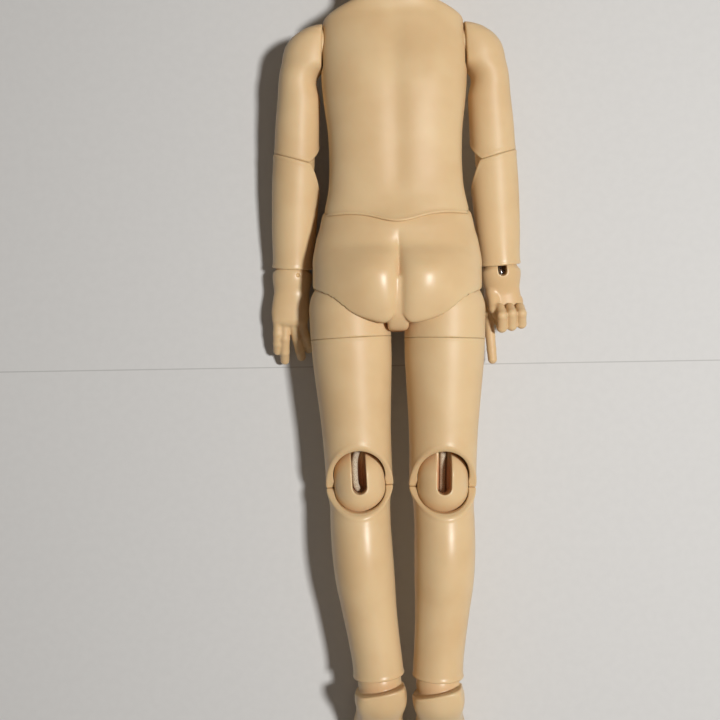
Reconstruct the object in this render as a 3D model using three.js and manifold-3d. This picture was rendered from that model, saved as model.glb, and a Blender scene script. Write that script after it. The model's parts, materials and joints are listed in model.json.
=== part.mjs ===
import * as THREE from 'three';
import { mergeVertices } from 'three/addons/utils/BufferGeometryUtils.js';
import Module from 'manifold-3d';

// A ball jointed doll, lying on its front, in millimetres.
// +Y runs from the feet to the head, +Z from the floor to the back, +X to the photograph's right.
// Every moving body is a group at its joint's pivot, and limbs run along their group's -Y.

const wasm = await Module();
wasm.setup();
const { sin, cos, tan, PI, abs, sign } = Math;
const degrees = PI / 180;

// Clearances and counts shared by all pieces
const gap = 0.35;
const overrun = 60;
const roundSides = 16;
const cordSides = 6;
const cordRadius = 1.3;
const cordClear = 0.7;
const cordBore = cordRadius + cordClear;

// Heights above the floor and the lean of each part as it lies
const lie = {
  waistHeight: 22.9, hipHeight: 27, torsoLean: 1.1, headTilt: 20, footPitch: 41.9,
  footTurn: { left: 6, right: 6 },
  thighLean: { left: 3.4, right: -0.8 }, shinLean: { left: 2.4, right: -0.6 },
  armSpread: { left: 2.5, right: 2.4 }, armDrop: { left: 8.5, right: 7.5 },
  forearmSpread: { left: 1.2, right: 1.3 }, handBend: { left: -17, right: -4 },
};

const torso = {
  length: 110, squareness: 2.3, halfWidth: 32.6, back: 20.5, front: 25, midLift: 3.1,
  cavityHalfWidth: 19, cavityDepth: 14, cavityRoof: 26, seamSide: 16.2, seamMiddle: 12.4,
};
const cavityLength = torso.length - torso.cavityRoof;
const waist = {
  radius: 24, endRadius: 16.3, halfWidth: 33, roundness: 4.5, boreRadius: 4.5, mouthRadius: 18,
  bend: [-8, 8],
};
const neck = {
  rise: 14, lift: 7.3, radius: 13.9, ballRadius: 12.5, boreRadius: 4.6,
  twist: [-60, 60], nod: [-5, 33],
};
const neckAlong = torso.length + neck.rise;
const head = {
  skull: [28.5, 32.5, 31.5], skullAt: [0, 31, 2.5], face: [21, 24.5, 19], faceAt: [0, 14.5, -8],
  nose: [2.6, 5.5, 4], noseAt: [0, 17, -26.5], ear: [3.2, 8.5, 5.5], earAt: [27.6, 22, 3],
  cavity: [19.5, 25, 22], cavityAt: [0, 33, 0], slotHalfWidth: 4.6, slotSpread: 34,
  capCut: 15, capTilt: 48, capLift: 30, magnetRadius: 2.5, magnetHeight: 2, magnetInset: 5.2,
};
const shoulder = { below: 20, lift: 3.1, out: 31.5, ballRadius: 8, faceRadius: 12.8, swing: [-40, 95] };
const shoulderAlong = torso.length - shoulder.below;
const arm = { length: 47.5, reach: 19.3, depth: 10.6, boreRadius: 4.2 };
const elbow = {
  radius: 8.2, spacing: 5, turn: 44, backEdge: { upper: 2.2, lower: 2.2 }, cutSlope: { upper: 46, lower: 49 },
  cutTurn: 49, cutTilt: 13, slotWidth: 3.6, bend: [0, 38], slotDepth: 8.2, slotBelow: 2,
};
const forearm = { length: 47, halfWidth: 10.7, depth: 10.4, boreRadius: 4.2 };
const wrist = {
  radius: 8.1, outside: 3.4, slotWidth: 4, pinRadius: 1, hookRadius: 0.8, hookBow: 2.4,
  hookStem: 12, turn: [-40, 60], bend: [-30, 50], pinHalfLength: 6.6,
};
const hand = {
  squareness: 2.3, length: 23, halfWidth: 8.2, depth: 5.6, fingerRadius: 2.35,
  fingerSpacing: { left: 3.9, right: 4.6 },
};
const pelvis = {
  squareness: 2.2, halfWidth: 37.8, back: 26.1, front: 25.5, length: 60, boreRadius: 4.6,
  edgeOuter: -20.1, edgeInner: -36.4, edgeLean: -6, keel: 4.6,
};
const hip = {
  out: 21.4, drop: 29, radius: 18, seam: 12.3, seamRadius: 17.9, spigotRadius: 11.6,
  spigotLength: 5, slotWidth: 7.4, swing: [-4, 75], turn: [-24, 4], slotMargin: 12,
};
const thigh = { length: 73.3, halfWidth: 17.9, depth: 17.9 };
const knee = {
  radius: 11.4, spacing: 6.3, backEdge: { upper: 5, lower: 0.6 }, cutSlope: { upper: 50, lower: 43 },
  slotWidth: 6.3, bend: [0, 45], slotDepth: 11.4, slotBelow: 1.4, boreRadius: 4.2,
};
const shin = { length: 84, halfWidth: 15, back: 15.2, front: 14.2, bow: 1.7, boreRadius: 4 };
const ankle = {
  radius: 9.8, outside: 2.6, slotWidth: 4, pinRadius: 1.1, hookRadius: 0.9, hookBow: 2.6,
  hookStem: 14, turn: [-6, 30], bend: [-6, 43], pinHalfLength: 7.8,
};
const foot = { squareness: 2.3, length: 58, ankleHeight: 19, soleHeight: 17.6, halfWidth: 11.6 };

const resin = () => new THREE.MeshStandardMaterial({ color: 0xe3c79b, roughness: 0.38, metalness: 0 });
const elastic = () => new THREE.MeshStandardMaterial({ color: 0xe9e4d6, roughness: 0.8, metalness: 0 });
const steel = () => new THREE.MeshStandardMaterial({ color: 0xb9bcc0, roughness: 0.3, metalness: 1 });
const magnetMetal = () => new THREE.MeshStandardMaterial({ color: 0xa9acb0, roughness: 0.35, metalness: 1 });

const at = (x, y, z) => new THREE.Vector3(x, y, z);
const side = { left: -1, right: 1 };

// Solids
function solid(geometry) {
  const bare = geometry.clone();
  bare.deleteAttribute('normal');
  bare.deleteAttribute('uv');
  const merged = mergeVertices(bare);
  return new wasm.Manifold(new wasm.Mesh({
    numProp: 3,
    vertProperties: new Float32Array(merged.attributes.position.array),
    triVerts: new Uint32Array(merged.index.array),
  }));
}

function placed(shape, group) {
  group.updateMatrix();
  return shape.transform(group.matrix.elements);
}

function turned(shape, x, y, z) {
  const frame = new THREE.Object3D();
  frame.rotation.set(x * degrees, y * degrees, z * degrees);
  return placed(shape, frame);
}

// A round cut of radius r whose flat facets all lie at or outside r
const clear = (r) => (r + gap) / cos(PI / roundSides) ** 2;

function ellipsoid(radii, centre, sides = roundSides) {
  const shape = new THREE.SphereGeometry(1, sides, sides / 2);
  shape.scale(radii[0], radii[1], radii[2]);
  shape.translate(centre.x, centre.y, centre.z);
  return solid(shape);
}

const ball = (r, centre = at(0, 0, 0), sides = roundSides) => ellipsoid([r, r, r], centre, sides);

function rod(from, to, r, endRadius = r, sides = roundSides) {
  const along = to.clone().sub(from);
  const shape = new THREE.CylinderGeometry(endRadius, r, along.length(), sides);
  shape.applyQuaternion(new THREE.Quaternion().setFromUnitVectors(at(0, 1, 0), along.clone().normalize()));
  const middle = from.clone().add(to).multiplyScalar(0.5);
  shape.translate(middle.x, middle.y, middle.z);
  return solid(shape);
}

function block(low, high) {
  const size = high.clone().sub(low);
  const shape = new THREE.BoxGeometry(size.x, size.y, size.z);
  const middle = low.clone().add(high).multiplyScalar(0.5);
  shape.translate(middle.x, middle.y, middle.z);
  return solid(shape);
}

// A tube of radius r on a smooth curve through the points
function cord(points, r, steps) {
  const ring = new THREE.Shape();
  for (let step = 0; step < cordSides; step += 1) {
    const angle = 2 * PI * step / cordSides;
    if (step === 0) ring.moveTo(r, 0);
    else ring.lineTo(r * cos(angle), r * sin(angle));
  }
  ring.closePath();
  const path = new THREE.CatmullRomCurve3(points);
  return solid(new THREE.ExtrudeGeometry(ring, { steps, extrudePath: path, bevelEnabled: false }));
}

// A flat plate in the Y-Z plane, from its outline, reaching `reach` each way along X
function plate(outline, reach) {
  const shape = new THREE.Shape(outline.map(([y, z]) => new THREE.Vector2(z, y)));
  const body = new THREE.ExtrudeGeometry(shape, { depth: 2 * reach, bevelEnabled: false });
  body.translate(0, 0, -reach);
  body.rotateY(-PI / 2);
  return solid(body);
}

// A fan-shaped plate about the X axis: from angle `from` to `to`, measured from +Y towards +Z
function fan(from, to, radius, reach) {
  const outline = [[0, 0]];
  const steps = 8;
  for (let step = 0; step <= steps; step += 1) {
    const angle = (from + (to - from) * step / steps) * degrees;
    outline.push([radius * cos(angle), radius * sin(angle)]);
  }
  return plate(outline, reach);
}

// One cross-section: rounded outline with its own depth on the back and on the front
function ring(y, centre, halfWidth, back, front, lift, power, sides) {
  const points = [];
  for (let step = 0; step < sides; step += 1) {
    const angle = 2 * PI * step / sides;
    const across = sign(cos(angle)) * abs(cos(angle)) ** (2 / power);
    const deep = sign(sin(angle)) * abs(sin(angle)) ** (2 / power);
    points.push(at(centre + halfWidth * across, y, lift + (deep > 0 ? back : front) * deep));
  }
  return points;
}

// A closed skin over cross-sections, with a fan of faces over each end
function loft(rings) {
  const sides = rings[0].length;
  const middle = (points) => points.reduce((sum, p) => sum.add(p), at(0, 0, 0)).divideScalar(points.length);
  const points = [...rings.flat(), middle(rings[0]), middle(rings.at(-1))];
  const first = rings.length * sides;
  const faces = [];
  for (let i = 0; i < sides; i += 1) {
    const j = (i + 1) % sides;
    for (let r = 0; r + 1 < rings.length; r += 1) {
      const [a, b, c, d] = [r * sides + i, r * sides + j, (r + 1) * sides + i, (r + 1) * sides + j];
      faces.push(a, b, d, a, d, c);
    }
    const last = (rings.length - 1) * sides;
    faces.push(first, j, i, first + 1, last + i, last + j);
  }
  const shape = new THREE.BufferGeometry().setFromPoints(points);
  shape.setIndex(faces);
  const skin = solid(shape);
  if (skin.volume() > 0) return skin;
  shape.setIndex([...faces].reverse());
  return solid(shape);
}

// A limb along -Y: rows of shares are [along, half width, back, front, shift] of the named sizes
function limb(size, shares, power = 2, sides = roundSides) {
  return loft(shares.map(([along, width, back, front, shift = 0]) => ring(-along * size.length,
    shift * (size.shift ?? 0), width * size.halfWidth, back * size.back, front * size.front, size.lift ?? 0,
    power, sides)));
}

// Scene graph
const doll = new THREE.Group();

function body(parent, joint, pivot) {
  const group = new THREE.Group();
  group.position.copy(pivot);
  group.userData.joint = joint;
  parent.add(group);
  return group;
}

function add(parent, name, shape, material) {
  const parts = shape.getMesh();
  const geometry = new THREE.BufferGeometry();
  geometry.setAttribute('position', new THREE.BufferAttribute(parts.vertProperties.slice(), 3));
  geometry.setIndex(new THREE.BufferAttribute(parts.triVerts.slice(), 1));
  const mesh = new THREE.Mesh(geometry, material);
  mesh.name = name;
  parent.add(mesh);
  return mesh;
}

// What a limb that bends loses at a double joint. `end` is 1 for the limb above the joint and -1 for the limb
// below it. The limb bends towards -Z turned by `turn`, and its rim is tilted by `tilt` about Z.
function jointCut(size, end, turn, tilt = 0) {
  const which = end > 0 ? 'upper' : 'lower';
  const edge = -end * size.backEdge[which];
  const rise = end * overrun * tan(size.cutSlope[which] * degrees);
  const outline = [[edge, overrun], [edge, 0], [edge + rise, -overrun], [edge - end * 4 * overrun, -overrun],
    [edge - end * 4 * overrun, overrun]];
  const slopes = turned(turned(plate(outline, overrun), 0, turn, 0), 0, 0, tilt);
  const socket = ball(clear(size.radius));
  const passage = rod(at(0, 0, 0), at(0, -end * 2 * size.radius, 0), clear(size.radius));
  const window = rod(at(0, 0, 0), at(0, 0, -overrun), clear(size.radius));
  return slopes.add(socket).add(passage).add(turned(window, 0, turn, 0));
}

// The capsule between two limbs, in the same frame: its slot is open on the side that it flexes to
function doubleJoint(size) {
  const lower = at(0, -size.spacing, 0);
  const capsule = ball(size.radius).add(ball(size.radius, lower)).add(rod(at(0, 0, 0), lower, size.radius));
  const half = size.slotWidth / 2;
  const slotTop = size.radius * 0.9;
  const slotEnd = at(0, -size.spacing - size.slotBelow + half, 0);
  const slotFloor = size.slotDepth - size.radius;
  const slot = block(at(-half, slotEnd.y, -overrun), at(half, slotTop, slotFloor))
    .add(rod(at(0, slotEnd.y, -overrun), at(0, slotEnd.y, slotFloor), half, half, roundSides));
  const bore = rod(at(0, overrun, 0), at(0, -overrun, 0), cordBore, cordBore, 12);
  return capsule.subtract(slot.add(bore));
}

const axialCord = (top, bottom) => rod(at(0, top, 0), at(0, bottom, 0), cordRadius, cordRadius, cordSides);

// Torso
const torsoShares = [
  [0.03, 1.0, 0.86, 0.93], [0.113, 0.99, 0.87, 0.94], [0.147, 0.985, 0.865, 0.95],
  [0.19, 0.955, 0.85, 0.96], [0.23, 0.93, 0.855, 0.965], [0.31, 0.911, 0.9, 0.965],
  [0.395, 0.911, 0.94, 0.95], [0.477, 0.925, 0.98, 0.955], [0.56, 0.96, 1, 0.98],
  [0.64, 0.988, 0.985, 1], [0.722, 1, 0.93, 0.96], [0.818, 1.0, 0.83, 0.8],
  [0.882, 0.975, 0.75, 0.68, 0.15], [0.927, 0.92, 0.7, 0.61, 0.35], [0.952, 0.8, 0.69, 0.58, 0.55],
  [0.981, 0.6, 0.7, 0.57, 0.85], [1.01, 0.46, 0.7, 0.575, 1], [1.05, 0.415, 0.65, 0.535, 1],
  [1.1, 0.395, 0.63, 0.515, 1],
];
const torsoCavityShares = [
  [0, 0.9, 1.05, 1.1], [0.2, 0.96, 0.9, 1.1], [0.5, 1, 1, 1.1], [0.8, 1, 0.95, 1], [0.95, 0.8, 0.8, 0.8],
  [1, 0.5, 0.5, 0.5],
];
const neckAt = at(0, neckAlong, neck.lift);

// The rounded seat at the waist is a barrel about the X axis
function waistBarrel(grow) {
  const rows = 6;
  const wide = pelvis.halfWidth;
  const profile = [new THREE.Vector2(0, -wide)];
  for (let row = -rows; row <= rows; row += 1) {
    const across = wide * sin(PI / 2 * row / rows);
    const fall = (waist.radius - waist.endRadius) * abs(across / waist.halfWidth) ** waist.roundness;
    profile.push(new THREE.Vector2(waist.radius - fall + grow, across));
  }
  profile.push(new THREE.Vector2(0, wide));
  const barrel = new THREE.LatheGeometry(profile, 2 * roundSides);
  barrel.rotateZ(PI / 2);
  const skin = solid(barrel);
  return skin.volume() > 0 ? skin : solid(flipped(barrel));
}

function flipped(geometry) {
  const other = geometry.clone();
  other.setIndex([...other.index.array].reverse());
  return other;
}

// The seam across the back and front: a shallow V, open towards the hips
function waistNotch() {
  const outer = torso.seamSide + (torso.seamSide - torso.seamMiddle);
  const shape = new THREE.Shape([
    new THREE.Vector2(-overrun, -overrun), new THREE.Vector2(overrun, -overrun),
    new THREE.Vector2(overrun, outer), new THREE.Vector2(torso.halfWidth, torso.seamSide),
    new THREE.Vector2(0, torso.seamMiddle), new THREE.Vector2(-torso.halfWidth, torso.seamSide),
    new THREE.Vector2(-overrun, outer)]);
  const prism = new THREE.ExtrudeGeometry(shape, { depth: 2 * overrun, bevelEnabled: false });
  prism.translate(0, 0, -overrun);
  return solid(prism);
}

function torsoLoft(shares, length, halfWidth, back, front, sides) {
  return loft(shares.map(([along, width, backShare, frontShare, rise = 0]) => {
    const lift = torso.midLift + rise * (neck.lift - torso.midLift);
    const power = rise < 1 ? torso.squareness : 2;
    return ring(along * length, 0, width * halfWidth, backShare * back, frontShare * front, lift, power,
      sides);
  }));
}

function upperTorso() {
  let shape = torsoLoft(torsoShares, torso.length, torso.halfWidth, torso.back, torso.front, 1.5 * roundSides)
    .add(ball(neck.ballRadius, neckAt));
  for (const s of [-1, 1]) {
    const centre = at(s * shoulder.out, shoulderAlong, shoulder.lift);
    const outward = at(s * overrun, 0, 0);
    shape = shape.subtract(rod(centre, centre.clone().add(outward), clear(shoulder.faceRadius)));
    shape = shape.subtract(ball(clear(shoulder.ballRadius), centre));
  }
  const across = at(shoulder.out, shoulderAlong, shoulder.lift);
  const acrossLeft = at(-shoulder.out, shoulderAlong, shoulder.lift);
  const cavity = torsoLoft(torsoCavityShares, cavityLength, torso.cavityHalfWidth,
    torso.cavityDepth, torso.cavityDepth, roundSides);
  return shape
    .subtract(waistNotch())
    .subtract(waistBarrel(gap))
    .subtract(cavity)
    .subtract(rod(acrossLeft, across, cordBore, cordBore, 12))
    .subtract(rod(at(0, cavityLength / 2, neck.lift), at(0, overrun + neckAlong, neck.lift),
      neck.boreRadius));
}

const torsoGroup = body(doll, null, at(0, 0, lie.waistHeight));
torsoGroup.rotation.z = lie.torsoLean * degrees;
add(torsoGroup, 'upper_torso', upperTorso(), resin());
const neckHookSize = { hookRadius: 1.1, hookBow: 2.8, hookStem: 11 };
const hookReach = (size) => size.hookBow + size.hookRadius + gap;
const bodyCordLift = neck.lift + cordRadius;
const neckHookDrop = neck.ballRadius;
add(torsoGroup, 'body_elastic', cord([
  at(0, waist.radius + 2 * gap, bodyCordLift / 4), at(0, torso.length / 3, bodyCordLift / 2),
  at(0, shoulderAlong, bodyCordLift), at(0, neckAlong - neckHookDrop - hookReach(neckHookSize), neck.lift),
], cordRadius, 16), elastic());
add(torsoGroup, 'chest_elastic', rod(at(-shoulder.out, shoulderAlong, shoulder.lift),
  at(shoulder.out, shoulderAlong, shoulder.lift), cordRadius, cordRadius, cordSides), elastic());

// Head: the crown is up its own +Y and the face looks along its -Z
const point = (place) => at(...place);

function hollowHead() {
  let shape = ellipsoid(head.skull, point(head.skullAt), 24).add(ellipsoid(head.face, point(head.faceAt), 20))
    .add(ellipsoid(head.nose, point(head.noseAt), 8));
  for (const s of [-1, 1]) {
    const [x, y, z] = head.earAt;
    shape = shape.add(ellipsoid(head.ear, at(s * x, y, z), 8));
  }
  shape = shape.subtract(ellipsoid(head.cavity, point(head.cavityAt)));
  shape = shape.subtract(ball(clear(neck.ballRadius)));
  const nodSteps = 6;
  for (let step = 0; step <= nodSteps; step += 1) {
    const span = neck.nod[1] - neck.nod[0];
    const angle = -lie.headTilt + neck.nod[0] + span * step / nodSteps;
    shape = shape.subtract(turned(rod(at(0, 0, 0), at(0, -overrun, 0), clear(neck.radius)), angle, 0, 0));
  }
  const middle = -lie.headTilt + (neck.nod[0] + neck.nod[1]) / 2;
  return shape.subtract(fan(middle - head.slotSpread, middle + head.slotSpread, 2 * neck.ballRadius,
    head.slotHalfWidth));
}

function capSpace(lift) {
  const space = block(at(-overrun, lift, -overrun), at(overrun, lift + 2 * overrun, overrun));
  const frame = new THREE.Object3D();
  frame.position.copy(point(head.skullAt));
  frame.rotation.x = head.capTilt * degrees;
  return placed(space, frame);
}

const neckTwist = body(torsoGroup, { name: 'neck_turn', body: 'neck_hook', axis: [0, 1, 0],
  range: neck.twist }, neckAt);
const headGroup = body(neckTwist, { name: 'head_nod', body: 'head', axis: [-1, 0, 0], range: neck.nod },
  at(0, 0, 0));
headGroup.rotation.x = lie.headTilt * degrees;
const wholeHead = hollowHead();
const magnetRing = head.skull[0] - head.magnetInset;
const capPlane = new THREE.Object3D();
capPlane.position.copy(point(head.skullAt));
capPlane.rotation.x = head.capTilt * degrees;

function magnet(frontBack, level) {
  const centre = at(0, level, frontBack * magnetRing);
  return placed(rod(centre.clone().add(at(0, -head.magnetHeight / 2, 0)),
    centre.clone().add(at(0, head.magnetHeight / 2, 0)), head.magnetRadius, head.magnetRadius, 12), capPlane);
}

function magnetSeat(frontBack, level) {
  const centre = at(0, level, frontBack * magnetRing);
  const reach = head.magnetHeight / 2 + gap;
  return placed(rod(centre.clone().add(at(0, -reach, 0)), centre.clone().add(at(0, reach, 0)),
    head.magnetRadius + gap, head.magnetRadius + gap, 12), capPlane);
}

const lowerMagnet = head.capCut - gap / 2 - head.magnetHeight / 2;
const upperMagnet = head.capCut + gap / 2 + head.magnetHeight / 2;
let headBody = wholeHead.subtract(capSpace(head.capCut - gap / 2));
let headCap = wholeHead.intersect(capSpace(head.capCut + gap / 2));
for (const s of [-1, 1]) {
  headBody = headBody.subtract(magnetSeat(s, lowerMagnet));
  headCap = headCap.subtract(magnetSeat(s, upperMagnet));
}
add(headGroup, 'head', headBody, resin());
const capAxis = at(0, cos(head.capTilt * degrees), sin(head.capTilt * degrees));
const capGroup = body(headGroup, { name: 'head_cap_lift', body: 'head_cap', slide: true,
  axis: capAxis.toArray(), range: [0, head.capLift] }, at(0, 0, 0));
add(capGroup, 'head_cap', headCap, resin());
const magnetNames = { '-1': 'front', 1: 'rear' };
for (const s of [-1, 1]) {
  add(headGroup, `head_magnet_${magnetNames[s]}`, magnet(s, lowerMagnet - gap / 2), magnetMetal());
  add(capGroup, `cap_magnet_${magnetNames[s]}`, magnet(s, upperMagnet + gap / 2), magnetMetal());
}

// A wire hook: an open bow round the pin, a stem, and a smaller bow at the far end
function wireHook(radius, bow, stem, farBow) {
  const points = [];
  const steps = 6;
  for (let step = 0; step <= steps; step += 1) {
    const angle = (-200 + 250 * step / steps) * degrees;
    points.push(at(0, bow * sin(angle), bow * cos(angle)));
  }
  points.push(at(0, 2 * bow, 0));
  for (let step = 0; step <= steps; step += 1) {
    const angle = (270 - 230 * step / steps) * degrees;
    points.push(at(0, stem + farBow * sin(angle), -farBow * cos(angle)));
  }
  return cord(points, radius, 16);
}

const neckHook = wireHook(neckHookSize.hookRadius, neckHookSize.hookBow, neckHookSize.hookStem + neckHookDrop,
  neckHookSize.hookBow);
add(neckTwist, 'neck_hook', neckHook.translate(0, -neckHookDrop, 0), steel());

// Arms
const armShares = [
  [-0.2, 0.06, 0.22, 0.22], [-0.192, 0.14, 0.4, 0.4], [-0.168, 0.31, 0.62, 0.62], [-0.114, 0.54, 0.82, 0.82],
  [-0.024, 0.77, 1, 1], [0.066, 0.886, 1.05, 1.05], [0.16, 0.955, 1.05, 1.05], [0.254, 1, 1.02, 1.02],
  [0.5, 1.04, 1, 1], [0.75, 1.085, 0.99, 0.99], [0.95, 1.1, 0.98, 0.98], [1.2, 1.1, 0.98, 0.98],
];

// The outer edge follows the shares of the reach, and the inner edge stays just off the body
function armBlank() {
  const rings = armShares.map(([along, outer, back, front]) => {
    const outerEdge = outer * arm.reach;
    const innerEdge = along < 0.2 ? -arm.reach / 4 : arm.reach / 20;
    const start = along < 0.2 ? Math.min(innerEdge, -outerEdge / 3) : innerEdge;
    return ring(-along * arm.length, (outerEdge + start) / 2, (outerEdge - start) / 2,
      back * arm.depth, front * arm.depth, 0, 2.1, roundSides);
  });
  return loft(rings).subtract(block(at(-overrun, -2 * overrun, -overrun), at(gap, 2 * overrun, overrun)));
}

const mirror = (shape, s) => (s > 0 ? shape : shape.mirror([1, 0, 0]));
const elbowAxisX = arm.reach * 0.575;
const elbowPivot = (s) => at(s * elbowAxisX, -arm.length, 0);

function upperArm(s) {
  const pivot = elbowPivot(s);
  const blank = mirror(armBlank(), s).add(ball(shoulder.ballRadius));
  return blank
    .subtract(jointCut(elbow, 1, s * elbow.cutTurn, s * elbow.cutTilt).translate(pivot.x, pivot.y, pivot.z))
    .subtract(rod(at(s * elbowAxisX, cordBore, 0), pivot, arm.boreRadius, arm.boreRadius, 12))
    .subtract(rod(at(-s * overrun, 0, 0), at(s * elbowAxisX, 0, 0), cordBore, cordBore, 12));
}

const forearmShares = [
  [-0.25, 0.98, 0.98, 0.98], [0, 1, 1, 1], [0.2, 1.01, 1.01, 1.01], [0.45, 0.985, 0.97, 0.97],
  [0.7, 0.94, 0.9, 0.9], [0.9, 0.88, 0.85, 0.85], [1, 0.875, 0.84, 0.84],
];

function forearmShape(s) {
  const size = { length: forearm.length, halfWidth: forearm.halfWidth, back: forearm.depth,
    front: forearm.depth };
  const wristAt = at(0, -forearm.length - wrist.outside, 0);
  return limb(size, forearmShares)
    .subtract(jointCut(elbow, -1, s * elbow.cutTurn, s * elbow.cutTilt))
    .subtract(ball(clear(wrist.radius), wristAt))
    .subtract(rod(at(0, 0, 0), wristAt, forearm.boreRadius, forearm.boreRadius, 16));
}

const slotMargin = 25;

// A ball with a slot for the hook and a pin across it, at the top of a hand or a foot
function slottedBall(size, shape, rest, sense) {
  const half = size.slotWidth / 2;
  const ends = size.bend.map((bend) => -rest - sense * bend).sort((a, b) => a - b);
  const open = fan(ends[0] - slotMargin, ends[1] + slotMargin, overrun / 3, half)
    .add(rod(at(-half, 0, 0), at(half, 0, 0), size.hookBow + size.hookRadius * 2.2, size.hookBow
      + size.hookRadius * 2.2, 16));
  const pinHole = rod(at(-overrun, 0, 0), at(overrun, 0, 0), size.pinRadius + gap, size.pinRadius + gap, 12);
  return shape.subtract(open).subtract(pinHole);
}

// A finger along its joints: round sections that bisect each bend, with a domed tip
function finger(points, r) {
  const sides = 6;
  const last = points.length - 1;
  const way = (i) => points[Math.min(i + 1, last)].clone().sub(points[Math.max(i - 1, 0)]).normalize();
  const tip = points[last].clone().add(way(last).multiplyScalar(r * 0.8));
  const spine = [...points.map((p, i) => [p, way(i), r]), [tip, way(last), r * 0.55]];
  return loft(spine.map(([p, direction, radius]) => {
    const across = at(1, 0, 0).addScaledVector(direction, -direction.x).normalize();
    const up = direction.clone().cross(across);
    return Array.from({ length: sides }, (_, k) => p.clone()
      .addScaledVector(across, radius * cos(2 * PI * k / sides))
      .addScaledVector(up, radius * sin(2 * PI * k / sides)));
  }));
}

// Each finger: [place across, share of length, base curl, knuckle curl, lean to the thumb's side]
const fingerSets = {
  left: [[1.2, 0.72, 30, 20, 0.35], [0.3, 0.85, 22, 20, 0.28], [-0.55, 0.88, 18, 16, 0],
    [-1.4, 0.66, 16, 14, 0]],
  right: [[1.5, 0.81, 2, 4, 0], [0.5, 0.9, 60, 85, 0], [-0.5, 0.86, 62, 88, 0], [-1.5, 0.74, 62, 85, 0]],
};
const phalanxShares = [0.44, 0.33, 0.26];
const palmShares = [
  [0, 0.99, 1.05, 1.05], [0.25, 0.98, 1, 1], [0.5, 1.03, 0.92, 0.95], [0.8, 1.06, 0.8, 0.9],
  [1, 0.94, 0.62, 0.7],
];

// The palm faces +Z times `palm`, and the thumb is on the side towards the body
function handShape(name, palm) {
  const s = side[name];
  const thumbSide = name === 'left' ? 1 : -1;
  const size = { length: hand.length, halfWidth: hand.halfWidth, back: hand.depth, front: hand.depth };
  let shape = ball(wrist.radius).add(limb(size, palmShares, hand.squareness, 12));
  for (const [across, share, curl, bend, lean] of fingerSets[name]) {
    const place = thumbSide * across * hand.fingerSpacing[name];
    let from = at(place, -hand.length + hand.fingerRadius, 0);
    let angle = curl;
    const joints = [from.clone().add(at(0, hand.fingerRadius, 0)), from];
    for (const phalanx of phalanxShares) {
      const reach = phalanx * share * hand.length;
      const forward = reach * cos(angle * degrees);
      from = from.clone().add(at(thumbSide * lean * forward, -forward, palm * reach * sin(angle * degrees)));
      joints.push(from);
      angle += bend;
    }
    shape = shape.add(finger(joints, hand.fingerRadius));
  }
  const thumbFrom = at(thumbSide * hand.halfWidth * 0.6, -hand.length * 0.4, palm * hand.depth * 0.5);
  const thumbMid = thumbFrom.clone().add(at(0, -hand.length * 0.3, palm * hand.depth * 0.5));
  const thumbTip = thumbMid.clone().add(at(-thumbSide * hand.fingerRadius, -hand.length * 0.2, 0));
  shape = shape.add(finger([thumbFrom, thumbMid, thumbTip], hand.fingerRadius * 1.1));
  return slottedBall(wrist, shape, lie.handBend[name], -palm);
}

function pinAcross(size) {
  return rod(at(-size.pinHalfLength, 0, 0), at(size.pinHalfLength, 0, 0), size.pinRadius, size.pinRadius, 10);
}

// The right arm counts its swing and bend the other way round, as its mirror image does
const mirrored = ([low, high], s) => (s < 0 ? [low, high] : [-high, -low]);

for (const name of ['left', 'right']) {
  const s = side[name];
  const palm = name === 'left' ? -1 : 1;
  const armGroup = body(torsoGroup, { name: `${name}_shoulder_swing`, body: `${name}_upper_arm`,
    axis: [-s, 0, 0], range: mirrored(shoulder.swing, s) },
  at(s * shoulder.out, shoulderAlong, shoulder.lift));
  armGroup.rotation.set(lie.armDrop[name] * degrees, 0, s * lie.armSpread[name] * degrees, 'XYZ');
  add(armGroup, `${name}_upper_arm`, upperArm(s), resin());
  add(armGroup, `${name}_arm_elastic`, cord([
    at(s * gap, 0, 0), at(s * elbowAxisX * 0.7, 0, 0), at(s * elbowAxisX, -arm.length / 4, 0),
    at(s * elbowAxisX, -arm.length + elbow.radius + gap, 0)], cordRadius, 12), elastic());

  const elbowFrame = (angle) => at(-s * cos(angle * degrees), 0, s * sin(angle * degrees)).toArray();
  const elbowGroup = body(armGroup, { name: `${name}_elbow_upper`, body: `${name}_elbow`,
    axis: elbowFrame(s * elbow.turn), range: mirrored(elbow.bend, s) }, elbowPivot(s));
  add(elbowGroup, `${name}_elbow_joint`, turned(doubleJoint(elbow), 0, s * elbow.turn, 0), resin());
  add(elbowGroup, `${name}_elbow_elastic`, axialCord(elbow.radius - gap, -elbow.spacing - elbow.radius + gap),
    elastic());
  const forearmGroup = body(elbowGroup, { name: `${name}_elbow_lower`, body: `${name}_forearm`,
    axis: elbowFrame(s * elbow.turn), range: mirrored(elbow.bend, s) }, at(0, -elbow.spacing, 0));
  forearmGroup.rotation.z = s * lie.forearmSpread[name] * degrees;
  add(forearmGroup, `${name}_forearm`, forearmShape(s), resin());
  add(forearmGroup, `${name}_forearm_elastic`, axialCord(-elbow.radius - gap,
    -forearm.length - wrist.outside + wrist.hookStem + hookReach(wrist)), elastic());

  const wristGroup = body(forearmGroup, { name: `${name}_wrist_turn`, body: `${name}_wrist_hook`,
    axis: [0, 1, 0], range: wrist.turn }, at(0, -forearm.length - wrist.outside, 0));
  add(wristGroup, `${name}_wrist_hook`, wireHook(wrist.hookRadius, wrist.hookBow, wrist.hookStem,
    wrist.hookBow), steel());
  const handGroup = body(wristGroup, { name: `${name}_hand_bend`, body: `${name}_hand`, axis: [-palm, 0, 0],
    range: wrist.bend }, at(0, 0, 0));
  handGroup.rotation.x = lie.handBend[name] * degrees;
  add(handGroup, `${name}_hand`, handShape(name, palm), resin());
  add(handGroup, `${name}_hand_pin`, pinAcross(wrist), steel());
}

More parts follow.
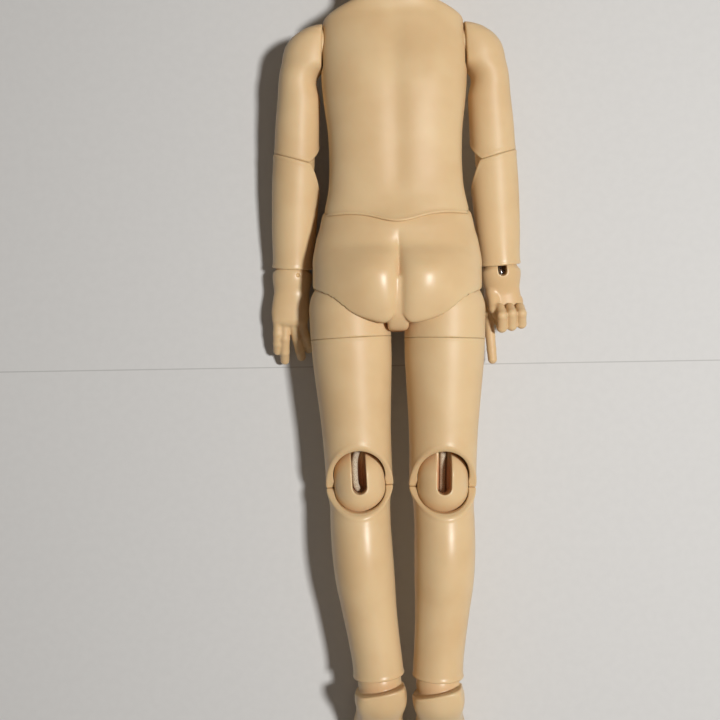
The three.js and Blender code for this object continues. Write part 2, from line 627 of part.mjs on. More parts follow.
// Pelvis, in a frame at the waist pivot
const pelvisShares = [
  [0.35, 0.845, 0.68, 0.72], [0.27, 0.865, 0.7, 0.84], [0.2, 0.895, 0.7, 0.89], [0.12, 0.923, 0.73, 0.93],
  [0.05, 0.956, 0.75, 0.955], [-0.025, 0.98, 0.785, 0.98], [-0.1, 1, 0.85, 1], [-0.2, 1, 0.94, 1],
  [-0.3, 1, 0.995, 0.95], [-0.4, 0.99, 1, 0.87], [-0.483, 0.955, 0.955, 0.76], [-0.567, 0.85, 0.85, 0.63],
  [-0.63, 0.68, 0.7, 0.5],
];
const pelvisGroup = body(torsoGroup, { name: 'waist_bend', body: 'lower_torso', axis: [1, 0, 0],
  range: waist.bend }, at(0, 0, 0));
pelvisGroup.rotation.z = -lie.torsoLean * degrees;
const hipLift = lie.hipHeight - lie.waistHeight;
const hipAt = (s) => at(s * hip.out, -hip.drop, hipLift);

// Where the elastic turns down into the hip piece
const cordMouth = (s) => hipAt(s).clone().add(at(0, hip.radius + cordRadius, 0));

// All that the hip piece passes through as it swings from one limit to the other
function hipSweep(s, lean) {
  let space = ball(clear(hip.radius), hipAt(s));
  const steps = 7;
  for (let step = 0; step <= steps; step += 1) {
    const angle = hip.swing[0] + (hip.swing[1] - hip.swing[0]) * step / steps;
    const frame = new THREE.Object3D();
    frame.position.copy(hipAt(s));
    frame.rotation.set(angle * degrees, 0, lean * degrees);
    space = space.add(placed(rod(at(0, 0, 0), at(0, -overrun, 0), clear(hip.radius)), frame));
  }
  return space;
}

function lowerTorso() {
  const rings = pelvisShares.map(([along, width, back, front]) => ring(along * pelvis.length, 0,
    width * pelvis.halfWidth, back * pelvis.back, front * pelvis.front, torso.midLift, pelvis.squareness,
    1.5 * roundSides));
  let shape = loft(rings);
  const above = block(at(-overrun, 0, -overrun), at(overrun, overrun, overrun));
  shape = shape.subtract(turned(above.subtract(waistBarrel(0)), 0, 0, lie.torsoLean));
  for (const s of [-1, 1]) {
    shape = shape.subtract(hipSweep(s, lie.thighLean[s < 0 ? 'left' : 'right']));
    const edge = new THREE.Object3D();
    const slope = Math.atan2(pelvis.edgeOuter - pelvis.edgeInner, pelvis.halfWidth);
    edge.position.set(0, pelvis.edgeInner, torso.midLift);
    edge.rotation.set(-pelvis.edgeLean * degrees, 0, s * slope);
    const below = block(at(s > 0 ? 0 : -2 * overrun, -2 * overrun, -overrun),
      at(s > 0 ? 2 * overrun : 0, 0, overrun));
    shape = shape.subtract(placed(below, edge)
      .intersect(block(at(s > 0 ? pelvis.keel : -2 * overrun, -2 * overrun, -overrun),
        at(s > 0 ? 2 * overrun : -pelvis.keel, overrun, overrun))));
    const mouth = cordMouth(s);
    shape = shape.subtract(rod(at(0, 0, 0), mouth, pelvis.boreRadius, pelvis.boreRadius, 12))
      .subtract(rod(mouth.clone().add(at(0, cordRadius, 0)), hipAt(s), pelvis.boreRadius,
        pelvis.boreRadius, 12));
  }
  return shape
    .subtract(rod(at(0, -pelvis.boreRadius, 0), at(0, overrun, 0), waist.boreRadius, waist.mouthRadius, 16));
}
add(pelvisGroup, 'lower_torso', lowerTorso(), resin());

// Legs
const thighShares = [
  [0, 1, 1, 1], [0.168, 1, 1, 1], [0.3, 0.985, 0.985, 0.98], [0.42, 0.95, 0.955, 0.95],
  [0.6, 0.895, 0.91, 0.9],
  [0.72, 0.862, 0.875, 0.86], [0.85, 0.845, 0.85, 0.835], [1, 0.835, 0.835, 0.82], [1.15, 0.835, 0.835, 0.82],
];
const shinShares = [
  [-0.18, 1, 1, 1, 0], [0, 0.985, 0.96, 1, 0], [0.07, 0.91, 0.9, 0.97, 0.3], [0.17, 0.9, 0.93, 0.9, 0.7],
  [0.33, 0.905, 1, 0.86, 1], [0.49, 0.88, 0.95, 0.83, 1], [0.65, 0.81, 0.82, 0.8, 0.7],
  [0.81, 0.76, 0.76, 0.78, 0.3],
  [0.93, 0.745, 0.745, 0.79, 0], [1, 0.75, 0.75, 0.79, 0],
];
const kneeTurn = 180;

function hipPiece() {
  const seam = at(0, -hip.seam + gap, 0);
  const spigotEnd = at(0, -hip.seam - hip.spigotLength, 0);
  return ball(hip.radius)
    .intersect(block(at(-overrun, -hip.seam + gap, -overrun), at(overrun, overrun, overrun)))
    .add(rod(at(0, 0, 0), seam, hip.radius * 0.998, hip.seamRadius))
    .add(rod(at(0, 0, 0), spigotEnd, hip.spigotRadius))
    .subtract(fan(-hip.swing[1] - hip.slotMargin, -hip.swing[0] + hip.slotMargin, overrun / 2,
      hip.slotWidth / 2))
    .subtract(rod(at(0, overrun, 0), at(0, -overrun, 0), cordBore, cordBore, 12));
}

function thighShape() {
  const size = { length: thigh.length, halfWidth: thigh.halfWidth, back: thigh.depth, front: thigh.depth };
  const kneeAt = at(0, -thigh.length, 0);
  return limb(size, thighShares, 2, 20)
    .subtract(block(at(-overrun, -hip.seam, -overrun), at(overrun, overrun, overrun)))
    .subtract(rod(at(0, 0, 0), at(0, -hip.seam - hip.spigotLength - gap, 0), clear(hip.spigotRadius)))
    .subtract(jointCut(knee, 1, kneeTurn).translate(kneeAt.x, kneeAt.y, kneeAt.z))
    .subtract(rod(at(0, 0, 0), kneeAt, knee.boreRadius, knee.boreRadius, 16));
}

function shinShape(s) {
  const size = { length: shin.length, halfWidth: shin.halfWidth, back: shin.back, front: shin.front,
    shift: s * shin.bow };
  const ankleAt = at(0, -shin.length - ankle.outside, 0);
  return limb(size, shinShares, 2, 20)
    .subtract(jointCut(knee, -1, kneeTurn))
    .subtract(ball(clear(ankle.radius), ankleAt))
    .subtract(rod(at(0, 0, 0), ankleAt, shin.boreRadius, shin.boreRadius, 16));
}

// The foot: heel to toe along its -Y, sole towards +Z as the doll lies on its front
const footShares = [
  [-0.21, 0.3, 0.5, -0.42], [-0.17, 0.64, 0.8, -0.1], [-0.06, 0.87, 1, 0.35], [0.12, 0.87, 1, 0.72],
  [0.3, 0.86, 1, 0.55], [0.5, 1, 1, 0.15], [0.64, 1.1, 1, -0.1], [0.76, 0.98, 0.98, -0.3],
  [0.795, 0.6, 0.86, -0.5],
];

// Where the end of the shin passes as the foot bends, seen from the foot
function shinSweep() {
  const radius = clear(shin.halfWidth * 0.8);
  const steps = 5;
  let space = null;
  for (let step = 0; step <= steps; step += 1) {
    const bend = lie.footPitch + ankle.bend[0] + (ankle.bend[1] - ankle.bend[0]) * step / steps;
    const part = turned(rod(at(0, ankle.outside - gap * 2, 0), at(0, overrun, 0), radius), -bend, 0, 0);
    space = space ? space.add(part) : part;
  }
  return space;
}

function footShape() {
  const rings = footShares.map(([along, width, sole, top]) => {
    const high = sole * foot.ankleHeight;
    const low = -top * foot.ankleHeight * 0.5;
    const middle = (high + low) / 2;
    return ring(-along * foot.length, 0, width * foot.halfWidth, high - middle, middle - low, middle,
      foot.squareness, roundSides);
  });
  const legPart = rod(at(0, 0, 0), at(0, 0, foot.ankleHeight * 0.6), ankle.radius * 0.98, ankle.radius);
  const belowSole = block(at(-overrun, -2 * overrun, foot.soleHeight), at(overrun, overrun, overrun));
  const whole = loft(rings).add(legPart).subtract(shinSweep()).subtract(belowSole);
  return slottedBall(ankle, ball(ankle.radius).add(whole), lie.footPitch, 1);
}

for (const name of ['left', 'right']) {
  const s = side[name];
  const hipGroup = body(pelvisGroup, { name: `${name}_hip_swing`, body: `${name}_hip`, axis: [1, 0, 0],
    range: hip.swing }, hipAt(s));
  hipGroup.rotation.z = lie.thighLean[name] * degrees;
  add(hipGroup, `${name}_hip_joint`, hipPiece(), resin());
  const start = at(s * 2 * cordRadius, waist.radius - gap, 0);
  const turn = at(s * 2 * cordRadius, cordRadius, 0);
  add(pelvisGroup, `${name}_pelvis_elastic`, cord([start, turn, turn.clone().lerp(cordMouth(s), 0.5),
    cordMouth(s)], cordRadius, 14), elastic());

  const thighGroup = body(hipGroup, { name: `${name}_thigh_turn`, body: `${name}_thigh`, axis: [0, s, 0],
    range: hip.turn }, at(0, 0, 0));
  add(thighGroup, `${name}_thigh`, thighShape(), resin());
  add(thighGroup, `${name}_thigh_elastic`, axialCord(hip.radius * 0.9, -thigh.length + knee.radius + gap),
    elastic());

  const kneeGroup = body(thighGroup, { name: `${name}_knee_upper`, body: `${name}_knee`, axis: [-1, 0, 0],
    range: knee.bend }, at(0, -thigh.length, 0));
  add(kneeGroup, `${name}_knee_joint`, turned(doubleJoint(knee), 0, kneeTurn, 0), resin());
  add(kneeGroup, `${name}_knee_elastic`, axialCord(knee.radius - gap, -knee.spacing - knee.radius + gap),
    elastic());
  const shinGroup = body(kneeGroup, { name: `${name}_knee_lower`, body: `${name}_shin`, axis: [-1, 0, 0],
    range: knee.bend }, at(0, -knee.spacing, 0));
  shinGroup.rotation.z = lie.shinLean[name] * degrees;
  add(shinGroup, `${name}_shin`, shinShape(s), resin());
  const ankleAt = at(0, -shin.length - ankle.outside, 0);
  add(shinGroup, `${name}_shin_elastic`, axialCord(-knee.radius - gap,
    ankleAt.y + ankle.hookStem + hookReach(ankle)), elastic());

  const ankleGroup = body(shinGroup, { name: `${name}_ankle_turn`, body: `${name}_ankle_hook`,
    axis: [0, -s, 0], range: ankle.turn }, ankleAt);
  add(ankleGroup, `${name}_ankle_hook`, wireHook(ankle.hookRadius, ankle.hookBow, ankle.hookStem,
    ankle.hookBow), steel());
  const footGroup = body(ankleGroup, { name: `${name}_foot_bend`, body: `${name}_foot`, axis: [1, 0, 0],
    range: ankle.bend }, at(0, 0, 0));
  footGroup.rotation.set(lie.footPitch * degrees, 0, s * lie.footTurn[name] * degrees, 'XZY');
  add(footGroup, `${name}_foot`, footShape(), resin());
  add(footGroup, `${name}_foot_pin`, pinAcross(ankle), steel());
}

// The origin is under the middle of the whole doll
const extent = new THREE.Box3().setFromObject(doll, true);
const middle = extent.getCenter(at(0, 0, 0));
doll.position.set(-middle.x, -middle.y, -extent.min.z);

export default doll;
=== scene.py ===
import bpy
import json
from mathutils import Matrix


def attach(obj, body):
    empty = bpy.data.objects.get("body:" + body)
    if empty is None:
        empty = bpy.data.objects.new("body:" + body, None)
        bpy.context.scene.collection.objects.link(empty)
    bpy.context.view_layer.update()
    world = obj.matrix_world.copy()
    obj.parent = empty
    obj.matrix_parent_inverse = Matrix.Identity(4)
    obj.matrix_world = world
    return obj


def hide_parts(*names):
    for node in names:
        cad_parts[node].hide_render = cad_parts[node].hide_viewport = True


bl_info = {
    "name": "Ball jointed doll",
    "version": (1, 0, 0),
    "blender": (4, 5, 0),
    "location": "View3D > Sidebar > Doll",
    "description": "Builds the dressed pieces of a strung resin doll round its packed frame",
    "category": "Object",
}

import json
import math

import bpy
import numpy as np
from bpy.props import FloatProperty, FloatVectorProperty, PointerProperty
from mathutils import Vector

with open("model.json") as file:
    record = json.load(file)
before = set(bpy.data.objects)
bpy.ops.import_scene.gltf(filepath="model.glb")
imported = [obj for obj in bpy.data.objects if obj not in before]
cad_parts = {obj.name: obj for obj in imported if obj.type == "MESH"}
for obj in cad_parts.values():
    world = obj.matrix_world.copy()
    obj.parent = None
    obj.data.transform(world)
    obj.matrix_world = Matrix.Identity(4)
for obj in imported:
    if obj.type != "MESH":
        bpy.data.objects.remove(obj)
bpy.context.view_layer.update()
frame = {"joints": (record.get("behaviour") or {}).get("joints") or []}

MM = 0.001
SIDES = {"left": -1, "right": 1}
PIVOTS = {j["name"]: np.array(j["pos_m"]) / MM for j in frame["joints"] if "pos_m" in j}

# Sizes in millimetres and angles in degrees, in each piece's own frame: limbs run along -Y from their pivot
GAP = 0.35  # between pieces that move
RIM = 0.5  # rounding of an edge, where a call gives none
SLOT_END = 2.4  # rounding at the ends of a hook's slot
CREASE = 0.1  # softens the fold between the two planes of a rim
OVERRUN = 10
CORD_BORE = 2.0
LEAN = {
    "torso": 1.1, "head": 20, "foot": 41.9, "foot_turn": 6,
    "thigh": {"left": 3.4, "right": -0.8}, "shin": {"left": 2.4, "right": -0.6},
    "arm_spread": {"left": 2.5, "right": 2.4}, "arm_drop": {"left": 8.5, "right": 7.5},
    "forearm": {"left": 1.2, "right": 1.3}, "hand": {"left": -17, "right": -4},
}
TORSO = {"length": 110, "half": 32.6, "back": 20.5, "front": 25, "lift": 3.1, "neck_lift": 7.3, "neck": 124,
         "seam": 12.6, "seam_dip": 4.1, "dip_half": 12, "spine": 0.9, "spine_half": 5, "blade": 0.3,
         "tip": 2.0}
CAVITY = {"length": 84, "half": 19, "back": 14, "front": 14}
SHOULDER = {"along": 90, "out": 31.5, "ball": 8, "face": 12.8}
ARM = {"length": 47.5, "reach": 19.3, "depth": 10.6, "bore": 4.2, "bore_taper": 8, "elbow_share": 0.575}
ELBOW = {"radius": 8.2, "spacing": 5, "turn": 44, "edge": (2.4, 2.4), "slope": (46, 49), "cut_turn": 49,
         "tilt": 13, "slot": 3.6, "below": 2, "seat": 0.15, "window": (8, 8)}
FOREARM = {"length": 47, "half": 10.7, "depth": 10.4, "bore": 4.2, "rim_lean": 1.25}
WRIST = {"radius": 8.1, "outside": 3.4, "slot": 4, "pin": 1, "wire": 0.8, "bow": 2.4, "stem": 12,
         "pin_half": 6.6, "bend": (-30, 50), "palm_slot": 24}
HAND = {"length": 23, "half": 8.2, "depth": 5.6, "finger": 2.35, "spacing": {"left": 3.9, "right": 4.6},
        "dimple": 0.8}
PELVIS = {"length": 60, "half": 37.8, "back": 26.1, "front": 25.5, "bore": 4.6, "edge": -35.6,
          "edge_bow": 0.0115, "groove": 5.2, "groove_half": 2.6, "lobe": 1.4, "notch": 5.2, "notch_half": 3.4,
          "keel": 4.6, "keel_depth": 3.0, "keel_span": (-38.2, -14.2)}
HIP = {"out": 21.4, "drop": 29, "radius": 18, "seam": 12.3, "seam_gap": 0.08, "spigot": 11.6,
       "spigot_length": 5, "slot": 7.4, "slot_margin": 12, "swing": (-4, 75), "lift": 4.1}
THIGH = {"length": 73.3, "half": 17.9}
KNEE = {"radius": 11.4, "spacing": 6.3, "turn": 180, "edge": (5.4, 0.85), "slope": (50, 40), "cut_turn": 180,
        "tilt": 0, "slot": 6.3, "below": 1.4, "bore": 4.2, "seat": 0.15, "window": (1, 1.22)}
SHIN = {"length": 84, "half": 15, "back": 15.2, "front": 14.2, "bow": 1.7, "bore": 4}
ANKLE = {"radius": 9.8, "outside": 2.6, "slot": 4, "pin": 1.1, "wire": 0.9, "bow": 2.6, "stem": 14,
         "pin_half": 7.8, "bend": (-6, 43)}
FOOT = {"length": 58, "height": 19, "sole": 17.6, "half": 12.2, "toes_end": 45.5,
        "toe_grooves": (-5.9, -1.5, 2.6, 6.4), "heel": (0.373, 0.928, 14.6), "root": (9.7, 9.9),
        "cup": 12.35, "band": 1.6, "band_slope": 0.17}
NECK = {"ball": 12.5, "radius": 13.9, "bore": 4.6, "wire": 1.1, "bow": 2.8, "stem": 11, "nod": (-5, 33)}
HEAD = {"cap_cut": 15, "cap_tilt": 48, "centre": (0, 31, 2.5), "magnet": 2.5, "magnet_height": 2,
        "inset": 5.2, "slot": 4.6, "slot_reach": 34, "slot_depth": 25}
WAIST = {"radius": 23.6, "end": 15.8, "half": 33, "roundness": 3, "bore": 4.5, "mouth": 18, "seat": 0.12,
         "relief": 20}
CORD = 1.3
WEAVE = {"turn": 0.9, "swell": 0.045, "strands": 3}

# Low ridges beside an edge: height, distance of the crest from the edge, width
BEADS = {"seat": (0.2, 0.7, 0.6), "forearm": (0.2, 0.8, 0.7), "shin": (0.25, 0.9, 0.8),
         "thigh": (0.15, 0.5, 0.6), "chest": (0.35, 0.6, 0.7)}

# Box that holds each resin piece in its body's frame, and the step of its mesh
BOXES = {
    "upper_torso": ((-34, 7, -25), (34, 139, 27), 0.5),
    "lower_torso": ((-39, -41, -25), (39, 26, 31), 0.55),
    "head": ((-33, -15, -33), (33, 65, 36), 0.6),
    "head_cap": ((-30, 14, -30), (33, 65, 36), 0.65),
    "left_upper_arm": ((-24, -62, -13), (9, 11, 13), 0.45),
    "right_upper_arm": ((-9, -62, -13), (24, 11, 13), 0.45),
    "elbow_joint": ((-9, -14.5, -9), (9, 9, 9), 0.35),
    "forearm": ((-12, -48, -12), (12, 13, 12), 0.42),
    "hand": ((-12, -54, -16), (12, 10, 16), 0.33),
    "hip_joint": ((-19, -19, -19), (19, 19, 19), 0.5),
    "thigh": ((-19, -86, -19), (19, -11, 19), 0.5),
    "knee_joint": ((-12, -19, -12), (12, 12, 12), 0.38),
    "shin": ((-17, -86, -16), (17, 16, 17), 0.48),
    "foot": ((-14, -48, -11), (14, 14, 20), 0.42),
}

# Soft swellings of the back: middle and width from the doll's middle line, then along the doll
MOUNDS = {"blade": ((15, 8), (76, 15)), "tip": ((0, 12), (7, 6)), "lobe": ((13, 9.5), (-13, 13))}

# The picture's middle from the waist's pivot, and half the doll's thickness
PICTURE = {"middle": (-16.65, -51, 0), "half_thick": 25}

# Lamps: place in metres, share of the key lamp's power, size in metres, colour
LAMPS = {"key_lamp": ((0.38, 0.0, 0.95), 1.0, 0.1, (1.0, 0.985, 0.965)),
         "fill_lamp": ((-0.3, -0.9, 0.8), 0.06, 0.9, (1.0, 0.92, 0.84))}

# The painted shadow line where a sheet's edge lies, in metres: how far it rises for each metre across, and
# its place
SHEET_EDGE_SHADE = {"rise": 0.0167, "below": 0.0257, "core": 0.0001, "fade": 0.0004}


# Arrays of numbers

def curve(t, rows, column):
    """Value of a table's column at t: cubic pieces through the rows, flat beyond the first and last."""
    at, value = rows[:, 0], rows[:, column]
    t = np.clip(t, at[0], at[-1])
    slope = np.gradient(value, at)
    i = np.clip(np.searchsorted(at, t) - 1, 0, len(at) - 2)
    reach = at[i + 1] - at[i]
    u = (t - at[i]) / reach
    return (value[i] * (1 + 2 * u) * (1 - u) ** 2 + reach * slope[i] * u * (1 - u) ** 2
            + value[i + 1] * u ** 2 * (3 - 2 * u) + reach * slope[i + 1] * u ** 2 * (u - 1))


def ramp(t, low, high):
    """0 before low, 1 after high, and smooth between them."""
    u = np.clip((t - low) / (high - low), 0, 1)
    return u * u * (3 - 2 * u)


def bump(t, middle, width):
    """A bell of height 1 about middle."""
    return np.exp(-((t - middle) / width) ** 2)


def bead(name, past):
    """The low ridge of that name, `past` being the distance from its edge."""
    height, middle, width = BEADS[name]
    return height * bump(past, middle, width)


def mound(p, name):
    """The soft swelling of that name, the same on both sides."""
    across, along = MOUNDS[name]
    return bump(np.abs(p[0]), *across) * bump(p[1], *along)


def both(a, b, k=RIM):
    """What is inside both forms, with the edge between them rounded over k."""
    near = np.maximum(k - np.abs(a - b), 0)
    return np.maximum(a, b) + near * near / (4 * k)


def join(a, b, k=RIM):
    """Either form, with the corner between them filled over k."""
    return -both(-a, -b, k)


def less(a, b, k=RIM):
    """The first form without the second, with a rounded edge."""
    return both(a, -b, k)


def matrix(x=0, y=0, z=0, order="XYZ"):
    """Turn about X, Y and Z in degrees, the first letter of the order outermost."""
    turns = {}
    for name, angle, (i, j) in (("X", x, (1, 2)), ("Y", y, (2, 0)), ("Z", z, (0, 1))):
        c, s = math.cos(math.radians(angle)), math.sin(math.radians(angle))
        turns[name] = np.eye(3)
        turns[name][[i, j], [i, j]] = c
        turns[name][i, j], turns[name][j, i] = -s, s
    return turns[order[0]] @ turns[order[1]] @ turns[order[2]]


def seen(p, at=(0, 0, 0), turn=None):
    """The point's coordinates in a frame at `at`, turned by `turn`."""
    q = [p[i] - at[i] for i in range(3)]
    if turn is None:
        return q
    return [turn[0, i] * q[0] + turn[1, i] * q[1] + turn[2, i] * q[2] for i in range(3)]


# Forms: each gives roughly the distance to its surface in millimetres, negative inside

def ball(p, at, r):
    return np.sqrt((p[0] - at[0]) ** 2 + (p[1] - at[1]) ** 2 + (p[2] - at[2]) ** 2) - r


def egg(p, at, radii):
    """Ellipsoid: the scaled radius less one, divided by its slope."""
    q = [(p[i] - at[i]) / radii[i] for i in range(3)]
    k0 = np.sqrt(q[0] ** 2 + q[1] ** 2 + q[2] ** 2)
    k1 = np.sqrt((q[0] / radii[0]) ** 2 + (q[1] / radii[1]) ** 2 + (q[2] / radii[2]) ** 2)
    return k0 * (k0 - 1) / np.maximum(k1, 1e-6)


def stick(p, a, b, ra, rb=None):
    """Round-ended rod from a to b whose radius runs from ra to rb."""
    rb = ra if rb is None else rb
    a, b = np.asarray(a, float), np.asarray(b, float)
    d = b - a
    q = [p[i] - a[i] for i in range(3)]
    h = np.clip((q[0] * d[0] + q[1] * d[1] + q[2] * d[2]) / d.dot(d), 0, 1)
    return np.sqrt(sum((q[i] - h * d[i]) ** 2 for i in range(3))) - (ra + (rb - ra) * h)


def rod(p, a, b, ra, rb=None):
    """Flat-ended rod from a to b."""
    rb = ra if rb is None else rb
    a, b = np.asarray(a, float), np.asarray(b, float)
    d = b - a
    length = math.sqrt(d.dot(d))
    q = [p[i] - a[i] for i in range(3)]
    along = (q[0] * d[0] + q[1] * d[1] + q[2] * d[2]) / length
    away = np.sqrt(np.maximum(q[0] ** 2 + q[1] ** 2 + q[2] ** 2 - along ** 2, 0))
    return np.maximum(away - (ra + (rb - ra) * along / length), np.maximum(-along, along - length))


def tube(p, i, at, r):
    """Endless round bore along axis i through `at`."""
    j, k = [n for n in range(3) if n != i]
    return np.sqrt((p[j] - at[j]) ** 2 + (p[k] - at[k]) ** 2) - r


def rounded(x, z, half, back, front, power=2.0):
    """Cross-section: a superellipse with its own depth on the back and on the front."""
    depth = np.where(z > 0, back, front)
    n = (np.abs(x / half) ** power + np.abs(z / depth) ** power) ** (1 / power)
    return (n - 1) * np.minimum(half, depth)


def section(x, z, t, size, rows, power):
    """Cross-section at t: the half width, back and front of a size, each by its column of the table."""
    half, back, front = (size[key] * curve(t, rows, i) for i, key in ((1, "half"), (2, "back"), (3, "front")))
    return rounded(x, z, half, back, front, power)


def wedge(p, low, high, half):
    """Slot about the X axis: between two angles measured from +Y towards +Z, and half a width each way."""
    a, b = math.radians(low), math.radians(high)
    lower = -(p[2] * math.cos(a) - p[1] * math.sin(a))
    upper = p[2] * math.cos(b) - p[1] * math.sin(b)
    return both(np.abs(p[0]) - half, np.maximum(lower, upper), SLOT_END)


def table(text):
    return np.array([[float(n) for n in row.split()] for row in text.strip().split(",")])


# Surfaces and meshes

def skin(form, low, high, step):
    """Surface where a form is zero. The form is worked out on a box of points. Each cell that the surface
    crosses gets one point, the middle of the crossings on its edges, and each crossed edge gets one face
    of the four cells round it. The points are then moved onto the surface along the form's slope."""
    low, high = np.asarray(low, float), np.asarray(high, float)
    count = np.ceil((high - low) / step).astype(int) + 1
    lines = [low[i] + step * np.arange(count[i]) for i in range(3)]
    grid = [lines[i].reshape([-1 if j == i else 1 for j in range(3)]) for i in range(3)]
    value = np.broadcast_to(form(grid), tuple(count))
    inside = value < 0
    cells, spots, faces = [], [], []
    for d in range(3):
        e, g = (d + 1) % 3, (d + 2) % 3
        first = np.moveaxis(inside, d, 0)
        crossed = np.argwhere(np.moveaxis(first[:-1] != first[1:], 0, d))
        crossed = crossed[(crossed[:, e] > 0) & (crossed[:, g] > 0)]
        ahead = crossed.copy()
        ahead[:, d] += 1
        v0, v1 = value[tuple(crossed.T)], value[tuple(ahead.T)]
        spot = crossed.astype(float)
        spot[:, d] += v0 / (v0 - v1)
        quad = []
        for shift_e, shift_g in ((0, 0), (-1, 0), (-1, -1), (0, -1)):
            cell = crossed.copy()
            cell[:, e] += shift_e
            cell[:, g] += shift_g
            quad.append(np.ravel_multi_index(tuple(cell.T), tuple(count)))
            cells.append(quad[-1])
            spots.append(spot)
        quad = np.stack(quad, 1)
        faces.append(np.where((v0 < 0)[:, None], quad, quad[:, ::-1]))
    used, place = np.unique(np.concatenate(cells), return_inverse=True)
    spots = np.concatenate(spots)
    shares = np.bincount(place, minlength=len(used))
    points = np.stack([np.bincount(place, spots[:, i], len(used)) / shares for i in range(3)], 1)
    points = low + step * points
    faces = np.searchsorted(used, np.concatenate(faces))
    return settle(form, points, step), faces


def settle(form, points, step, rounds=4):
    """Moves points onto the form's surface: its value divided by its slope, along the slope."""
    probe = 0.03
    for _ in range(rounds):
        here = list(points.T)
        value = form(here)
        slope = []
        for i in range(3):
            more, fewer = list(here), list(here)
            more[i], fewer[i] = here[i] + probe, here[i] - probe
            slope.append((form(more) - form(fewer)) / (2 * probe))
        slope = np.stack(slope, 1)
        steep = np.maximum((slope ** 2).sum(1), 0.15)
        move = slope * (value / steep)[:, None]
        size = np.sqrt((move ** 2).sum(1))
        points = points - move * np.minimum(1, 0.6 * step / np.maximum(size, 1e-9))[:, None]
    return points


def sweep(path, radius, sides=16):
    """Round skin carried along a path, closed by a pole at each end. radius is one number for each point,
    or one for each point and each side."""
    path = np.asarray(path, float)
    way = np.gradient(path, axis=0)
    way /= np.linalg.norm(way, axis=1)[:, None]
    up = np.cross(way[0], [1.0, 0.0, 0.0])
    if np.linalg.norm(up) < 0.3:
        up = np.cross(way[0], [0.0, 0.0, 1.0])
    frames = [up / np.linalg.norm(up)]
    for heading in way[1:]:
        up = frames[-1] - heading * frames[-1].dot(heading)
        frames.append(up / np.linalg.norm(up))
    up = np.array(frames)
    over = np.cross(way, up)
    angle = 2 * np.pi * np.arange(sides) / sides
    radius = np.broadcast_to(np.asarray(radius, float).reshape(len(path), -1), (len(path), sides))
    rings = (path[:, None] + radius[..., None] * (up[:, None] * np.cos(angle)[None, :, None]
                                                  + over[:, None] * np.sin(angle)[None, :, None]))
    points = np.concatenate([rings.reshape(-1, 3), path[[0, -1]]])
    i = np.arange(sides)
    j = (i + 1) % sides
    rows = sides * np.arange(len(path) - 1)[:, None]
    walls = np.stack([rows + i, rows + j, rows + sides + j, rows + sides + i], -1).reshape(-1, 4)
    last = sides * (len(path) - 1)
    ends = [np.stack([np.full(sides, last + sides), j, i], 1),
            np.stack([np.full(sides, last + sides + 1), last + i, last + j], 1)]
    return points, [walls] + ends


def hex_rgba(text):
    """sRGB hex to linear colour."""
    parts = [int(text[i:i + 2], 16) / 255 for i in (1, 3, 5)]
    return [c / 12.92 if c <= 0.04045 else ((c + 0.055) / 1.055) ** 2.4 for c in parts] + [1.0]


def piece(name, surface, place, body, nodes, material, depth=None):
    """Puts a surface into a mesh at its place, and lets it ride on its body in the CAD nodes' stead."""
    points, faces = surface
    depth = np.zeros(len(points)) if depth is None else np.clip(depth, 0, None)
    blocks = faces if isinstance(faces, list) else [faces]
    mesh = bpy.data.meshes.new(name)
    corners = np.concatenate([b.reshape(-1) for b in blocks]).astype(np.int32)
    sizes = np.concatenate([np.full(len(b), b.shape[1]) for b in blocks]).astype(np.int32)
    world = (points @ place[:3, :3].T + place[:3, 3]) * MM
    mesh.vertices.add(len(points))
    mesh.vertices.foreach_set("co", world.astype(np.float32).reshape(-1))
    mesh.loops.add(len(corners))
    mesh.loops.foreach_set("vertex_index", corners)
    mesh.polygons.add(len(sizes))
    mesh.polygons.foreach_set("loop_start", np.concatenate([[0], np.cumsum(sizes)[:-1]]).astype(np.int32))
    mesh.polygons.foreach_set("use_smooth", np.ones(len(sizes), bool))
    mesh.update(calc_edges=True)
    mesh.validate()
    layer = mesh.attributes.new("depth", "FLOAT", "POINT")
    layer.data.foreach_set("value", depth.astype(np.float32))
    mesh.materials.append(material)
    obj = bpy.data.objects.new(name, mesh)
    bpy.context.scene.collection.objects.link(obj)
    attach(obj, body)
    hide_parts(*nodes)
    return obj


def cast(name, form, outer, body):
    """A resin piece: its form's surface, with the depth under its outer form kept for the finish's painted
    shade.
    """
    low, high, step = BOXES[name] if name in BOXES else BOXES[name.split("_", 1)[1]]
    points, faces = skin(form, low, high, step * (1))
    piece(f"{name}_shell", (points, faces), PLACES[body], body, [name], finish("resin"),
          -outer(list(points.T)))


# Places of the bodies' frames

def at(parent, offset=(0, 0, 0), turn=None):
    place = np.eye(4)
    place[:3, 3] = offset
    if turn is not None:
        place[:3, :3] = turn
    return parent @ place


